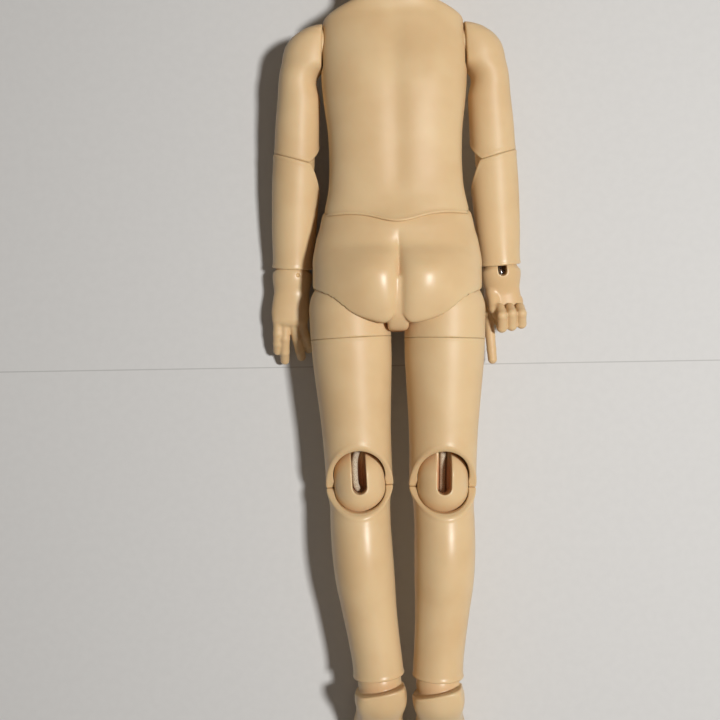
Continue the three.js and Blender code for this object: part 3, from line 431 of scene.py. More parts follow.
def places():
    """Every body's frame at rest, carried from the waist's pivot."""
    root = np.eye(4)
    root[:3, 3] = PIVOTS["waist_bend"]
    found = {"torso": at(root, turn=matrix(z=LEAN["torso"]))}
    torso = found["torso"]
    found["neck_hook"] = at(torso, (0, TORSO["neck"], TORSO["neck_lift"]))
    found["head"] = found["head_cap"] = at(found["neck_hook"], turn=matrix(x=LEAN["head"]))
    found["lower_torso"] = root
    for name, s in SIDES.items():
        arm = at(torso, (s * SHOULDER["out"], SHOULDER["along"], TORSO["lift"]),
                 matrix(LEAN["arm_drop"][name], 0, s * LEAN["arm_spread"][name]))
        elbow = at(arm, (s * ELBOW_X, -ARM["length"], 0))
        forearm = at(elbow, (0, -ELBOW["spacing"], 0), matrix(z=s * LEAN["forearm"][name]))
        wrist = at(forearm, (0, -FOREARM["length"] - WRIST["outside"], 0))
        hand = at(wrist, turn=matrix(x=LEAN["hand"][name]))
        hip = at(root, (s * HIP["out"], -HIP["drop"], HIP["lift"]), matrix(z=LEAN["thigh"][name]))
        knee = at(hip, (0, -THIGH["length"], 0))
        shin = at(knee, (0, -KNEE["spacing"], 0), matrix(z=LEAN["shin"][name]))
        ankle = at(shin, (0, -SHIN["length"] - ANKLE["outside"], 0))
        foot = at(ankle, turn=matrix(LEAN["foot"], 0, s * LEAN["foot_turn"], "XZY"))
        for part, place in (("upper_arm", arm), ("elbow", elbow), ("forearm", forearm), ("wrist_hook", wrist),
                            ("hand", hand), ("hip", hip), ("thigh", hip), ("knee", knee), ("shin", shin),
                            ("ankle_hook", ankle), ("foot", foot)):
            found[f"{name}_{part}"] = place
    return found


ELBOW_X = ARM["reach"] * ARM["elbow_share"]
PLACES = places()


# Cross-section tables: share of the length, then shares of the half width, the back and the front

TORSO_ROWS = table("""0.03 1 .91 .93 0, .113 .99 .885 .94 0, .147 .985 .872 .95 0, .19 .955 .847 .96 0,
    .23 .93 .843 .965 0, .31 .911 .868 .965 0, .395 .911 .91 .95 0, .477 .925 .96 .955 0, .56 .96 1 .98 0,
    .64 .988 1.02 1 0, .722 1 .985 .96 0, .818 1 .88 .8 0, .882 .975 .78 .68 .15, .927 .92 .7 .61 .35,
    .952 .8 .69 .58 .55, .981 .6 .7 .57 .85, 1.01 .46 .7 .575 1, 1.05 .415 .65 .535 1,
    1.1 .395 .63 .515 1""")
CAVITY_ROWS = table("0 .9 1.05 1.1, .2 .96 .9 1.1, .5 1 1 1.1, .8 1 .95 1, .95 .8 .8 .8, 1 .5 .5 .5")
PELVIS_ROWS = table("""-.63 .68 .7 .5, -.567 .85 .83 .63, -.483 .955 .915 .76, -.4 .99 .965 .87,
    -.3 1 .99 .95, -.2 1 .975 1, -.1 1 .875 1, -.025 .98 .775 .98, .05 .956 .745 .955, .12 .923 .73 .93,
    .2 .895 .7 .89, .27 .865 .7 .84, .35 .845 .68 .72""")
ARM_ROWS = table("""-.2 .07 .24 -.25, -.192 .17 .44 -.25, -.168 .36 .66 -.25, -.114 .6 .86 -.25,
    -.024 .82 1 -.25, .066 .915 1.05 -.25, .16 .955 1.05 -.25, .254 1 1.02 .05, .5 1.04 1 .05,
    .75 1.085 .99 .05, .95 1.1 .98 .05, 1.2 1.1 .98 .05""")
FOREARM_ROWS = table("-.25 .98 .98, 0 1 1, .2 1.01 1.01, .45 .985 .97, .7 .94 .9, .9 .88 .85, 1 .875 .84")
PALM_ROWS = table("0 .99 1.05 1.05, .25 .98 1 1, .5 1.03 .92 .95, .8 1.06 .8 .9, 1 .94 .62 .7")
THIGH_ROWS = table("""0 1 1 1, .168 1 1 1, .3 .985 .985 .98, .42 .95 .955 .95, .6 .895 .91 .9,
    .72 .862 .875 .86, .85 .845 .85 .835, 1 .835 .835 .82, 1.15 .835 .835 .82""")
SHIN_ROWS = table("""-.18 1 1 1 0, 0 .985 .96 1 0, .07 .91 .9 .97 .3, .17 .9 .93 .9 .7, .33 .905 1 .86 1,
    .49 .88 .95 .83 1, .65 .81 .82 .8 .7, .81 .76 .76 .78 .3, .93 .745 .745 .79 0, 1 .75 .75 .79 0""")
FOOT_ROWS = table("""-.21 .3 .5 -.42, -.17 .64 .8 -.1, -.06 .87 1 .35, .12 .87 1 .72, .3 .86 1 .55,
    .5 1 1 .15, .64 1.1 1 -.1, .76 .98 .98 -.3, .795 .6 .86 -.5""")


def limb(p, rows, length, half, back, front, power=2.0, shift=0.0):
    """A limb along -Y whose cross-sections follow a table of shares."""
    t = -p[1] / length
    x = p[0] - (shift * curve(t, rows, 4) if shift else 0)
    last = 3 if rows.shape[1] > 3 else 2
    return rounded(x, p[2], half * curve(t, rows, 1), back * curve(t, rows, 2), front * curve(t, rows, last),
                   power)


def sector(p, low, high, r, start=None, lean=0.0):
    """All that a rod of radius r sweeps as it turns about X, between two angles from -Y towards -Z."""
    angle = np.arctan2(-p[2], -p[1])
    near = np.clip(angle, math.radians(low), math.radians(high))
    far = np.hypot(p[1], p[2])
    along = np.maximum(far * np.cos(angle - near), 0)
    across = np.sqrt(np.maximum(far ** 2 - along ** 2, 0))
    form = np.sqrt((p[0] - math.tan(math.radians(lean)) * along) ** 2 + across ** 2) - r
    return form if start is None else np.maximum(form, start - along)


def joint_planes(q, size, end):
    """What the slanted cut at a double joint takes away, in the frame where the limb bends towards -Z."""
    which = 0 if end > 0 else 1
    reach = (np.sqrt(q[2] ** 2 + CREASE) - q[2]) / 2
    slope = math.radians(size["slope"][which])
    return (end * q[1] + size["edge"][which] - reach * math.tan(slope)) * math.cos(slope)


def joint_socket(q, size, end):
    """The round seat of a double joint, open towards its end, and on the side that it bends to, through a
    window that is as wide as the ball and shorter by the given factor."""
    r = size["radius"] + size["seat"]
    shorter = size["window"][0 if end > 0 else 1]
    seat = np.sqrt(q[0] ** 2 + np.maximum(end * q[1], 0) ** 2 + q[2] ** 2) - r
    window = np.sqrt(q[0] ** 2 + (shorter * q[1]) ** 2 + np.maximum(q[2], 0) ** 2) - r
    return np.minimum(seat, window)


def joint_end(form, p, size, end, s=1, offset=(0, 0, 0), lean=0.0):
    """A limb's end at a double joint: its slanted rim with a low bead, then its seat. The rim makes up for
    the limb's own lean."""
    turn = s * size["cut_turn"]
    cut = joint_planes(seen(p, offset, matrix(0, turn, s * size["tilt"] - lean, "ZYX")), size, end)
    form = less(form - bead("seat", cut), cut, 0.35)
    return less(form, joint_socket(seen(p, offset, matrix(y=turn)), size, end), 0.25)


def slotted(form, p, size, rest, sense, longer=(0, 0)):
    """A ball's slot for its hook, and the hole for its pin. The slot runs on by `longer` at its ends."""
    low, high = sorted(-rest - sense * bend for bend in size["bend"])
    margin = 25
    half = size["slot"] / 2
    form = less(form, wedge(p, low - margin - longer[0], high + margin + longer[1], half), 0.4)
    middle = np.maximum(tube(p, 0, (0, 0, 0), size["bow"] + 2.2 * size["wire"]), np.abs(p[0]) - half)
    form = less(form, middle, 0.4)
    return less(form, tube(p, 0, (0, 0, 0), size["pin"] + GAP), 0.3)


# Torso and pelvis

def waist_barrel(p, grow=0.0):
    """The rounded seat of the waist: a barrel about X."""
    fall = (WAIST["radius"] - WAIST["end"]) * np.abs(p[0] / WAIST["half"]) ** WAIST["roundness"]
    radius = WAIST["radius"] - fall
    return np.hypot(p[1], p[2]) - np.maximum(radius, 1) - grow


def torso_seam(p):
    """Height of the chest's lower edge: it dips in the middle of the back."""
    return TORSO["seam"] - TORSO["seam_dip"] * bump(p[0], 0, TORSO["dip_half"]) * ramp(p[2], 0, 12)


def torso_outer(p):
    """Cross-sections of the table, with a soft groove down the middle of the back, and below a dipping tip
    and a narrow lip."""
    t = p[1] / TORSO["length"]
    rise = curve(t, TORSO_ROWS, 4)
    z = p[2] - TORSO["lift"] - rise * (TORSO["neck_lift"] - TORSO["lift"])
    form = section(p[0], z, t, TORSO, TORSO_ROWS, 2.6 - 0.6 * rise)
    behind = ramp(z, 0, 9)
    spine = bump(p[0], 0, TORSO["spine_half"]) * ramp(p[1], 10, 34) * (1 - ramp(p[1], 80, 106))
    raised = TORSO["blade"] * mound(p, "blade") + TORSO["tip"] * mound(p, "tip")
    raised = raised + bead("chest", p[1] - torso_seam(p))
    return form + (TORSO["spine"] * spine - raised) * behind


def upper_torso(p):
    form = both(torso_outer(p), p[1] - 1.1 * TORSO["length"], 2)
    form = join(form, ball(p, (0, TORSO["neck"], TORSO["neck_lift"]), NECK["ball"]), 2.5)
    for s in (-1, 1):
        around = np.hypot(p[1] - SHOULDER["along"], p[2] - TORSO["lift"])
        face = np.maximum(around - SHOULDER["face"] - GAP, SHOULDER["out"] - s * p[0])
        form = less(form, face, 0.6)
        seat = (s * SHOULDER["out"], SHOULDER["along"], TORSO["lift"])
        form = less(form, ball(p, seat, SHOULDER["ball"] + GAP))
    form = less(form, p[1] - torso_seam(p), 0.5)
    form = less(form, waist_barrel(p, WAIST["seat"]), 0.15)
    t = p[1] / CAVITY["length"]
    hollow = section(p[0], p[2] - TORSO["lift"], t, CAVITY, CAVITY_ROWS, 2.3)
    form = less(form, both(both(hollow, -p[1]), p[1] - CAVITY["length"], 3))
    form = less(form, tube(p, 0, (0, SHOULDER["along"], TORSO["lift"]), CORD_BORE))
    neck_bore = tube(p, 1, (0, 0, TORSO["neck_lift"]), NECK["bore"])
    return less(form, np.maximum(neck_bore, CAVITY["length"] / 2 - p[1]))


def pelvis_outer(p, groove=PELVIS["groove"]):
    """Cross-sections of the table, with a groove in the middle of the back."""
    t = p[1] / PELVIS["length"]
    z = p[2] - TORSO["lift"]
    form = section(p[0], z, t, PELVIS, PELVIS_ROWS, 2.2)
    middle = np.exp(-np.sqrt(p[0] ** 2 + 0.12) / PELVIS["groove_half"]) * ramp(-p[1], -8, 14)
    return form + (groove * middle - PELVIS["lobe"] * mound(p, "lobe")) * ramp(z, 0, 10)


def hip_at(s):
    return np.array([s * HIP["out"], -HIP["drop"], HIP["lift"]])


def lower_torso(p):
    """The pelvis with its waist barrel, and a narrow keel that lies deeper, between the leg openings."""
    outer = pelvis_outer(p)
    x = np.abs(p[0])
    form = both(outer, PELVIS_ROWS[0, 0] * PELVIS["length"] - p[1], 3)
    q = seen(p, turn=matrix(z=LEAN["torso"]))
    form = both(form, waist_barrel(q) - WAIST["relief"] * ramp(-q[1], -2, 14), 1)
    bow = PELVIS["edge_bow"]
    notch = PELVIS["notch"] * bump(x, 0, PELVIS["notch_half"]) * ramp(p[2], 4, 12)
    edge = (p[1] - PELVIS["edge"] - bow * x ** 2 - notch) / np.sqrt(1 + (2 * bow * x) ** 2)
    form = less(form, edge, 1.0)
    low, high = PELVIS["keel_span"]
    keel = both(pelvis_outer(p, 0) + PELVIS["keel_depth"], x - PELVIS["keel"], 2.5)
    keel = both(keel, np.abs(p[1] - (low + high) / 2) - (high - low) / 2, 2.5)
    form = join(form, keel, 0.8)
    for name, s in SIDES.items():
        hip = seen(p, hip_at(s))
        form = less(form, sector(hip, *HIP["swing"], HIP["radius"] + GAP, lean=LEAN["thigh"][name]), 0.5)
        mouth = hip_at(s) + (0, HIP["radius"] + CORD, 0)
        form = less(form, stick(p, (0, 0, 0), mouth, PELVIS["bore"]), 0.5)
    up = (p[1] + PELVIS["bore"]) / (PELVIS["length"] + PELVIS["bore"])
    cone = WAIST["bore"] + (WAIST["mouth"] - WAIST["bore"]) * up
    throat = np.maximum(np.hypot(p[0], p[2]) - cone, -p[1] - PELVIS["bore"])
    return less(form, throat, 0.6)


# Head

CAP_UP = (0, math.cos(math.radians(HEAD["cap_tilt"])), math.sin(math.radians(HEAD["cap_tilt"])))


def cap_level(p):
    """Height above the skull's middle, square to the cap's seam."""
    return sum((p[i] - HEAD["centre"][i]) * CAP_UP[i] for i in (1, 2))


# Ellipsoids melted into the head one after another: middle, radii, width of the filled corner. Both sides
# are alike.
SKULL = (HEAD["centre"], (28.5, 32.5, 31.5))
SKULL_HOLLOW = ((0, 33, 0), (19.5, 25, 22))
FACE = {"jaw": ((0, 14.5, -8), (21, 24.5, 19), 6), "cheek": ((10.5, 9.5, -18.5), (7.5, 7, 6), 5),
        "chin": ((0, -3.6, -18.6), (6, 5, 5.2), 4)}
LIDS = {"eyelid": ((9.6, 17.6, -19.4), (5.4, 4.4, 5.1), 0.8)}
NOSE = {"bridge": ((0, 14.2, -25), (2.4, 6.6, 2.6), 3), "tip": ((0, 9.6, -27.2), (2.6, 2.0, 2.5), 1.6),
        "wing": ((2.1, 9.2, -26.0), (1.3, 1.3, 1.8), 1.0)}
LIPS = {"upper": ((1.5, 4.0, -24.9), (2.7, 1.0, 1.7), 0.9), "lower": ((0, 1.9, -24.4), (3.0, 1.2, 1.8), 0.9)}
NOSTRIL = ((1.3, 7.7, -27.0), (0.6, 0.6, 0.9))
EAR = ((27.6, 22, 3), (3.2, 8.5, 5.5))
EAR_BOWL = ((31.0, 22.8, 2.2), (2.2, 5.6, 3.1))
EYE = {"x": 9.6, "y": 18.2, "socket": 1.5, "lid": 0.4, "lid_y": 15.6, "lid_bow": 0.045}
MOUTH = {"depth": 0.35, "y": 3.0, "bow": 0.02}


def melted(form, m, eggs):
    for middle, radii, fill in eggs.values():
        form = join(form, egg(m, middle, radii), fill)
    return form


def head_outer(p):
    """Skull, face, nose, ears, lips and closed lids."""
    x = np.abs(p[0])
    m = [x, p[1], p[2]]
    form = melted(egg(m, *SKULL), m, FACE)
    form = form + EYE["socket"] * bump(x, EYE["x"], 5.4) * bump(p[1], EYE["y"], 4.2) * ramp(-p[2], 8, 20)
    form = melted(form, m, LIDS)
    from_eye = x - EYE["x"]
    lid = bump(p[1], EYE["lid_y"] + EYE["lid_bow"] * from_eye ** 2, 0.5)
    form = form + EYE["lid"] * lid * (1 - ramp(np.abs(from_eye), 4, 5.6)) * ramp(-p[2], 10, 18)
    form = melted(less(melted(form, m, NOSE), egg(m, *NOSTRIL)), m, LIPS)
    parting = bump(p[1], MOUTH["y"] + MOUTH["bow"] * x ** 2, 0.45)
    form = form + MOUTH["depth"] * parting * (1 - ramp(x, 3.2, 5.0)) * ramp(-p[2], 15, 22)
    return join(form, less(egg(m, *EAR), egg(m, *EAR_BOWL), 1), 1.4)


def head_whole(p):
    """The hollow head before its cap is cut off, with the seat of the neck's ball and a slot for its hook."""
    form = less(head_outer(p), egg(p, *SKULL_HOLLOW), 0.6)
    form = less(form, ball(p, (0, 0, 0), NECK["ball"] + GAP), 0.6)
    low, high = (nod - LEAN["head"] for nod in NECK["nod"])
    form = less(form, sector(p, low, high, NECK["radius"] + GAP, start=0), 1.0)
    middle = (low + high) / 2
    slot = wedge(p, middle - HEAD["slot_reach"], middle + HEAD["slot_reach"], HEAD["slot"])
    return less(form, np.maximum(slot, ball(p, (0, 0, 0), HEAD["slot_depth"])))


def magnet_at(end, level):
    """A magnet's place on the cap's seam: front is -1 and rear is 1."""
    ring = end * (SKULL[1][0] - HEAD["inset"])
    c, s = CAP_UP[1], CAP_UP[2]
    return np.array(HEAD["centre"]) + (0, level * c - ring * s, level * s + ring * c)


def magnet_seats(form, p, level):
    for end in (-1, 1):
        centre = magnet_at(end, level)
        reach = (HEAD["magnet_height"] / 2 + GAP) * np.array(CAP_UP)
        form = less(form, rod(p, centre - reach, centre + reach, HEAD["magnet"] + GAP), 0.2)
    return form


def head(p):
    cut = HEAD["cap_cut"] - GAP / 2
    return magnet_seats(both(head_whole(p), cap_level(p) - cut), p, cut - HEAD["magnet_height"] / 2)


def head_cap(p):
    cut = HEAD["cap_cut"] + GAP / 2
    return magnet_seats(both(head_whole(p), cut - cap_level(p)), p, cut + HEAD["magnet_height"] / 2)


# Arms

def arm_outer(p, s):
    """The outer edge follows the table, and the inner side is flat, just off the body."""
    x, t = s * p[0], -p[1] / ARM["length"]
    outer = ARM["reach"] * curve(t, ARM_ROWS, 1)
    inner = ARM["reach"] * curve(t, ARM_ROWS, 3)
    depth = ARM["depth"] * curve(t, ARM_ROWS, 2)
    form = rounded(x - (outer + inner) / 2, p[2], np.maximum((outer - inner) / 2, 0.3), depth, depth, 2.1)
    return both(both(form, GAP - x, 0.8), p[1] - 0.2 * ARM["length"], 0.5)


def upper_arm(p, s):
    form = join(arm_outer(p, s), ball(p, (0, 0, 0), SHOULDER["ball"]), 0.5)
    pivot = (s * ELBOW_X, -ARM["length"], 0)
    form = joint_end(form, p, ELBOW, 1, s, pivot)
    mouth, taper = (s * ELBOW_X, 0, 0), (s * ELBOW_X, -ARM["bore_taper"], 0)
    bore = np.maximum(tube(p, 1, mouth, ARM["bore"]), p[1] + ARM["bore_taper"])
    form = less(form, np.minimum(bore, stick(p, taper, mouth, ARM["bore"], CORD_BORE)), 0.4)
    return less(form, np.maximum(tube(p, 0, (0, 0, 0), CORD_BORE), s * p[0] - ELBOW_X), 0.4)


def forearm_outer(p):
    return limb(p, FOREARM_ROWS, FOREARM["length"], FOREARM["half"], FOREARM["depth"], FOREARM["depth"])


def forearm(p, s):
    form = forearm_outer(p) - bead("forearm", p[1] + FOREARM["length"])
    form = both(form, -(p[1] + FOREARM["length"]), 0.6)
    form = joint_end(form, p, ELBOW, -1, s, lean=s * FOREARM["rim_lean"])
    form = less(form, ball(p, (0, -FOREARM["length"] - WRIST["outside"], 0), WRIST["radius"] + GAP), 0.8)
    return less(form, tube(p, 1, (0, 0, 0), FOREARM["bore"]), 0.4)


def joint_ball(p, size):
    return stick(p, (0, 0, 0), (0, -size["spacing"], 0), size["radius"])


def double_joint(p, size, turn):
    """The capsule between two limbs, with its slot on the side that it bends to."""
    q = seen(p, turn=turn)
    form = joint_ball(q, size)
    half = size["slot"] / 2
    low, high = -size["spacing"] - size["below"] + half, 0.9 * size["radius"]
    across = np.hypot(q[0], q[1] - np.clip(q[1], low, high)) - half
    form = less(form, np.maximum(across, q[2]), 0.6)
    return less(form, tube(q, 1, (0, 0, 0), CORD_BORE), 0.4)


# Each finger: place across, share of the length, curl at the base and at each knuckle, lean to the thumb
FINGERS = {
    "left": ((1.2, 0.72, 30, 20, 0.35), (0.3, 0.85, 22, 20, 0.28), (-0.55, 0.88, 18, 16, 0),
             (-1.4, 0.66, 16, 14, 0)),
    "right": ((1.5, 0.81, 2, 4, 0), (0.5, 0.9, 60, 85, 0), (-0.5, 0.86, 62, 88, 0), (-1.5, 0.74, 62, 85, 0)),
}
PHALANX_SHARES = (0.44, 0.33, 0.26)
THUMB_SHARES = {"out": 0.6, "root": 0.4, "first": 0.3, "second": 0.2, "drop": 0.5, "thick": 1.1}
FINGER_THINNING_SHARE = 0.16


def finger(p, points, r):
    """A chain of round-ended rods that thins towards the tip."""
    form = None
    count = len(points) - 1
    for i in range(count):
        a, b = (r * (1.04 - FINGER_THINNING_SHARE * end / count) for end in (i, i + 1))
        part = stick(p, points[i], points[i + 1], a, b)
        form = part if form is None else join(form, part, 0.5)
    return form


def hand_outer(p, name):
    """Palm, wrist's ball, four fingers and the thumb."""
    palm = -1 if name == "left" else 1
    thumb = -SIDES[name]
    length, r = HAND["length"], HAND["finger"]
    flat = limb(p, PALM_ROWS, length, HAND["half"], HAND["depth"], HAND["depth"], 2.3)
    form = both(both(flat, -(p[1] + length + 1), 3), p[1], 1)
    form = join(form, ball(p, (0, 0, 0), WRIST["radius"]), 4)
    for across, share, curl, bend, lean in FINGERS[name]:
        spot = np.array([thumb * across * HAND["spacing"][name], -length + r, 0.0])
        points = [spot + (0, 3 * r, 0), spot]
        angle = curl
        for phalanx in PHALANX_SHARES:
            reach = phalanx * share * length
            c, s = math.cos(math.radians(angle)), math.sin(math.radians(angle))
            spot = spot + (thumb * lean * reach * c, -reach * c, palm * reach * s)
            points.append(spot)
            angle += bend
        form = join(form, finger(p, points, r), 0.9)
    shares = THUMB_SHARES
    drop = palm * HAND["depth"] * shares["drop"]
    root = np.array([thumb * HAND["half"] * shares["out"], -length * shares["root"], drop])
    middle = root + (0, -length * shares["first"], drop)
    tip = middle + (-thumb * r, -length * shares["second"], 0)
    return join(form, finger(p, [root, middle, tip], r * shares["thick"]), 1.4)


def hand(p, name):
    """A hand with its wrist's slot, and a dimple on the back of the wrist. Its palm is down on the left side
    and up on the right."""
    sense = 1 if name == "left" else -1
    form = less(hand_outer(p, name), ball(p, (3 * sense, -1.2, 7.5 * sense), HAND["dimple"]), 0.3)
    longer = (WRIST["palm_slot"], 0) if name == "left" else (0, WRIST["palm_slot"])
    return slotted(form, p, WRIST, LEAN["hand"][name], sense, longer)


# Legs

def hip_outer(p):
    return np.sqrt(p[0] ** 2 + np.maximum(p[1], 0) ** 2 + p[2] ** 2) - HIP["radius"]


def hip_joint(p):
    form = both(hip_outer(p), -(p[1] + HIP["seam"] - HIP["seam_gap"]), 0.25)
    end = -HIP["seam"] - HIP["spigot_length"]
    form = join(form, rod(p, (0, 0, 0), (0, end, 0), HIP["spigot"]), 0.2)
    low, high = -HIP["swing"][1] - HIP["slot_margin"], -HIP["swing"][0] + HIP["slot_margin"]
    form = less(form, wedge(p, low, high, HIP["slot"] / 2), 0.8)
    return less(form, tube(p, 1, (0, 0, 0), CORD_BORE), 0.4)


def thigh_outer(p):
    return limb(p, THIGH_ROWS, THIGH["length"], THIGH["half"], THIGH["half"], THIGH["half"])


def thigh(p):
    past = p[1] + HIP["seam"]
    form = both(thigh_outer(p) - bead("thigh", -past), past, 0.3)
    depth = HIP["seam"] + HIP["spigot_length"] + GAP
    form = less(form, rod(p, (0, OVERRUN, 0), (0, -depth, 0), HIP["spigot"] + GAP), 0.4)
    form = joint_end(form, p, KNEE, 1, offset=(0, -THIGH["length"], 0))
    return less(form, tube(p, 1, (0, 0, 0), KNEE["bore"]), 0.4)


def shin_outer(p, s):
    return limb(p, SHIN_ROWS, SHIN["length"], SHIN["half"], SHIN["back"], SHIN["front"],
                shift=s * SHIN["bow"])


def shin(p, name):
    s = SIDES[name]
    past = p[1] + SHIN["length"]
    form = both(shin_outer(p, s) - bead("shin", past), -past, 0.7)
    form = joint_end(form, p, KNEE, -1, lean=LEAN["shin"][name])
    form = less(form, ball(p, (0, -SHIN["length"] - ANKLE["outside"], 0), ANKLE["radius"] + GAP), 0.8)
    return less(form, tube(p, 1, (0, 0, 0), SHIN["bore"]), 0.4)


def foot_outer(p):
    """Cross-sections of the table, with a flat sole and grooves between the toes."""
    t = -p[1] / FOOT["length"]
    high = FOOT["height"] * curve(t, FOOT_ROWS, 2)
    low = -0.5 * FOOT["height"] * curve(t, FOOT_ROWS, 3)
    depth = np.maximum((high - low) / 2, 0.5)
    form = rounded(p[0], p[2] - (high + low) / 2, FOOT["half"] * curve(t, FOOT_ROWS, 1), depth, depth, 2.3)
    form = both(both(form, -(p[1] + FOOT["toes_end"]), 5), p[1] - 0.2 * FOOT["length"], 4)
    for place in FOOT["toe_grooves"]:
        form = form + 0.9 * bump(p[0], place, 0.8) * ramp(-p[1], 36, 42)
    along, up, away = FOOT["heel"]
    heel = along * p[1] + up * p[2] - away
    return both(both(form, heel, 4), p[2] - FOOT["sole"], 1.2 + 5 * (1 - ramp(-p[1], 0, 22)))


def foot(p):
    """The foot, cut off above the ankle along a slanted band, and the ankle's ball that stands out of it."""
    form = join(foot_outer(p), stick(p, (0, 0, 0), (0, -1, 7), *FOOT["root"]), 4)
    low, high = (180 - LEAN["foot"] - bend for bend in (ANKLE["bend"][1], ANKLE["bend"][0]))
    form = less(form, sector(p, low, high, FOOT["cup"], start=0.05), 0.6)
    tilt = math.radians(LEAN["foot"])
    band = FOOT["band_slope"] * p[0] - FOOT["band"] - p[1] * math.cos(tilt) + p[2] * math.sin(tilt)
    form = less(form, band, 0.8)
    form = join(form, ball(p, (0, 0, 0), ANKLE["radius"]), 0.4)
    return slotted(form, p, ANKLE, LEAN["foot"], 1)


# Cords, wires, pins and magnets

def smooth_path(points, spacing):
    """Catmull-Rom curve through the points, at even steps."""
    p = np.asarray(points, float)
    p = np.concatenate([[2 * p[0] - p[1]], p, [2 * p[-1] - p[-2]]])
    u = np.linspace(0, 1, 24, endpoint=False)[None, :, None]
    a, b, c, d = p[:-3, None], p[1:-2, None], p[2:-1, None], p[3:, None]
    square, cube = 2 * a - 5 * b + 4 * c - d, 3 * b - 3 * c + d - a
    fine = 0.5 * (2 * b + (c - a) * u + square * u ** 2 + cube * u ** 3)
    fine = np.concatenate([fine.reshape(-1, 3), p[-2:-1]])
    run = np.concatenate([[0], np.cumsum(np.linalg.norm(np.diff(fine, axis=0), axis=1))])
    want = np.linspace(0, run[-1], max(int(run[-1] / spacing), 3) + 1)
    return np.stack([np.interp(want, run, fine[:, i]) for i in range(3)], 1), want


def closing(run):
    """Share of the radius at each distance along a path: round at both of its ends."""
    end = np.minimum(run, run[-1] - run)
    return np.sqrt(np.clip(1 - (1 - np.clip(end / 0.5, 0, 1)) ** 2, 0.02, 1))


def braided(points):
    """Round elastic: a tube whose radius swells where two sets of strands cross."""
    path, run = smooth_path(points, 0.15)
    sides = 16
    angle = WEAVE["strands"] * 2 * np.pi * np.arange(sides) / sides
    turn = 2 * np.pi * run[:, None] / WEAVE["turn"]
    weave = np.sin(turn + angle) + np.sin(turn - angle)
    return sweep(path, CORD * (0.95 + WEAVE["swell"] * weave) * closing(run)[:, None], sides)


def wire_hook(size, stem, drop=0.0):
    """An open bow round the pin, a stem, and a bow at the far end."""
    bow = size["bow"]
    near = np.radians(np.linspace(-200, 50, 22))
    far = np.radians(np.linspace(270, 40, 22))
    points = np.concatenate([
        np.stack([0 * near, bow * np.sin(near), bow * np.cos(near)], 1),
        [[0, 2 * bow, 0]],
        np.stack([0 * far, stem + bow * np.sin(far), -bow * np.cos(far)], 1)])
    path, run = smooth_path(points - (0, drop, 0), 0.3)
    return sweep(path, size["wire"] * closing(run), 14)


def turned_rod(start, end, r, bevel):
    """A straight round bar with bevelled ends."""
    start, end = np.asarray(start, float), np.asarray(end, float)
    way = (end - start) / np.linalg.norm(end - start)
    long = np.linalg.norm(end - start)
    steps = np.array([0, 1e-3, 0.3 * bevel, bevel, long - bevel, long - 0.3 * bevel, long - 1e-3, long])
    radius = np.array([0.02, r - bevel, r - 0.3 * bevel, r, r, r - 0.3 * bevel, r - bevel, 0.02])
    return sweep(start + way * steps[:, None], radius, 28)


# Paths of the cords, in the frame of the body that each stretch rides on

def cord_paths():
    """name: (body, points of its route)."""
    def reach(size):
        return size["bow"] + size["wire"] + GAP

    slack = {("left", "knee"): [(-1.3, 7.5, 5.2), (-1.7, 2, 6.6), (-1.6, -3.8, 4.8), (-0.2, -8.2, 0.5)],
             ("right", "knee"): [(0, 6, -0.6), (0, 0, -0.65), (0, -7, -0.6)]}
    neck_end = TORSO["neck"] - NECK["ball"] - reach(NECK)
    along, lift = SHOULDER["along"], TORSO["lift"]
    paths = {
        "body_elastic": ("torso", [(0, WAIST["radius"] + 2 * GAP, 2.15), (0, 36.67, 4.3), (0, 90, 8.6),
                                   (0, neck_end, TORSO["neck_lift"])]),
        "chest_elastic": ("torso", [(-SHOULDER["out"], along, lift), (SHOULDER["out"], along, lift)]),
    }
    for name, s in SIDES.items():
        x, long = s * ELBOW_X, ARM["length"]
        paths[f"{name}_arm_elastic"] = (f"{name}_upper_arm", [
            (s * GAP, 0, 0), (0.7 * x, 0, 0), (x, -long / 4, 0), (x, -long + ELBOW["radius"] + GAP, 0)])
        low = -FOREARM["length"] - WRIST["outside"] + WRIST["stem"] + reach(WRIST)
        paths[f"{name}_forearm_elastic"] = (f"{name}_forearm", [(0, -ELBOW["radius"] - GAP, 0), (0, low, 0)])
        mouth = hip_at(s) + (0, HIP["radius"] + CORD, 0)
        turn = np.array([s * 2 * CORD, CORD, 0])
        paths[f"{name}_pelvis_elastic"] = ("lower_torso", [(s * 2 * CORD, WAIST["radius"] - GAP, 0), turn,
                                                           (turn + mouth) / 2, mouth])
        paths[f"{name}_thigh_elastic"] = (f"{name}_thigh", [
            (0, 0.9 * HIP["radius"], 0), (0, -THIGH["length"] + KNEE["radius"] + GAP, 0)])
        low = -SHIN["length"] - ANKLE["outside"] + ANKLE["stem"] + reach(ANKLE)
        paths[f"{name}_shin_elastic"] = (f"{name}_shin", [(0, -KNEE["radius"] - GAP, 0), (0, low, 0)])
        for part, size in (("elbow", ELBOW), ("knee", KNEE)):
            top = size["radius"] - GAP
            inner = slack.get((name, part), [])
            paths[f"{name}_{part}_elastic"] = (f"{name}_{part}", [(0, top, 0), *inner,
                                                                 (0, -size["spacing"] - top, 0)])
    return paths


# Materials

def noise(tree, place, scale, detail, **more):
    """Cloudy values between 0 and 1: scale is in clouds to the metre."""
    return node(tree, "ShaderNodeTexNoise", {"Scale": scale, "Detail": detail, **more}, {"Vector": place})


def total(tree, *values):
    """Sum of other nodes' outputs."""
    left = values[0]
    for right in values[1:]:
        left = node(tree, "ShaderNodeMath", {"operation": "ADD"}, {0: left, 1: right})
    return left


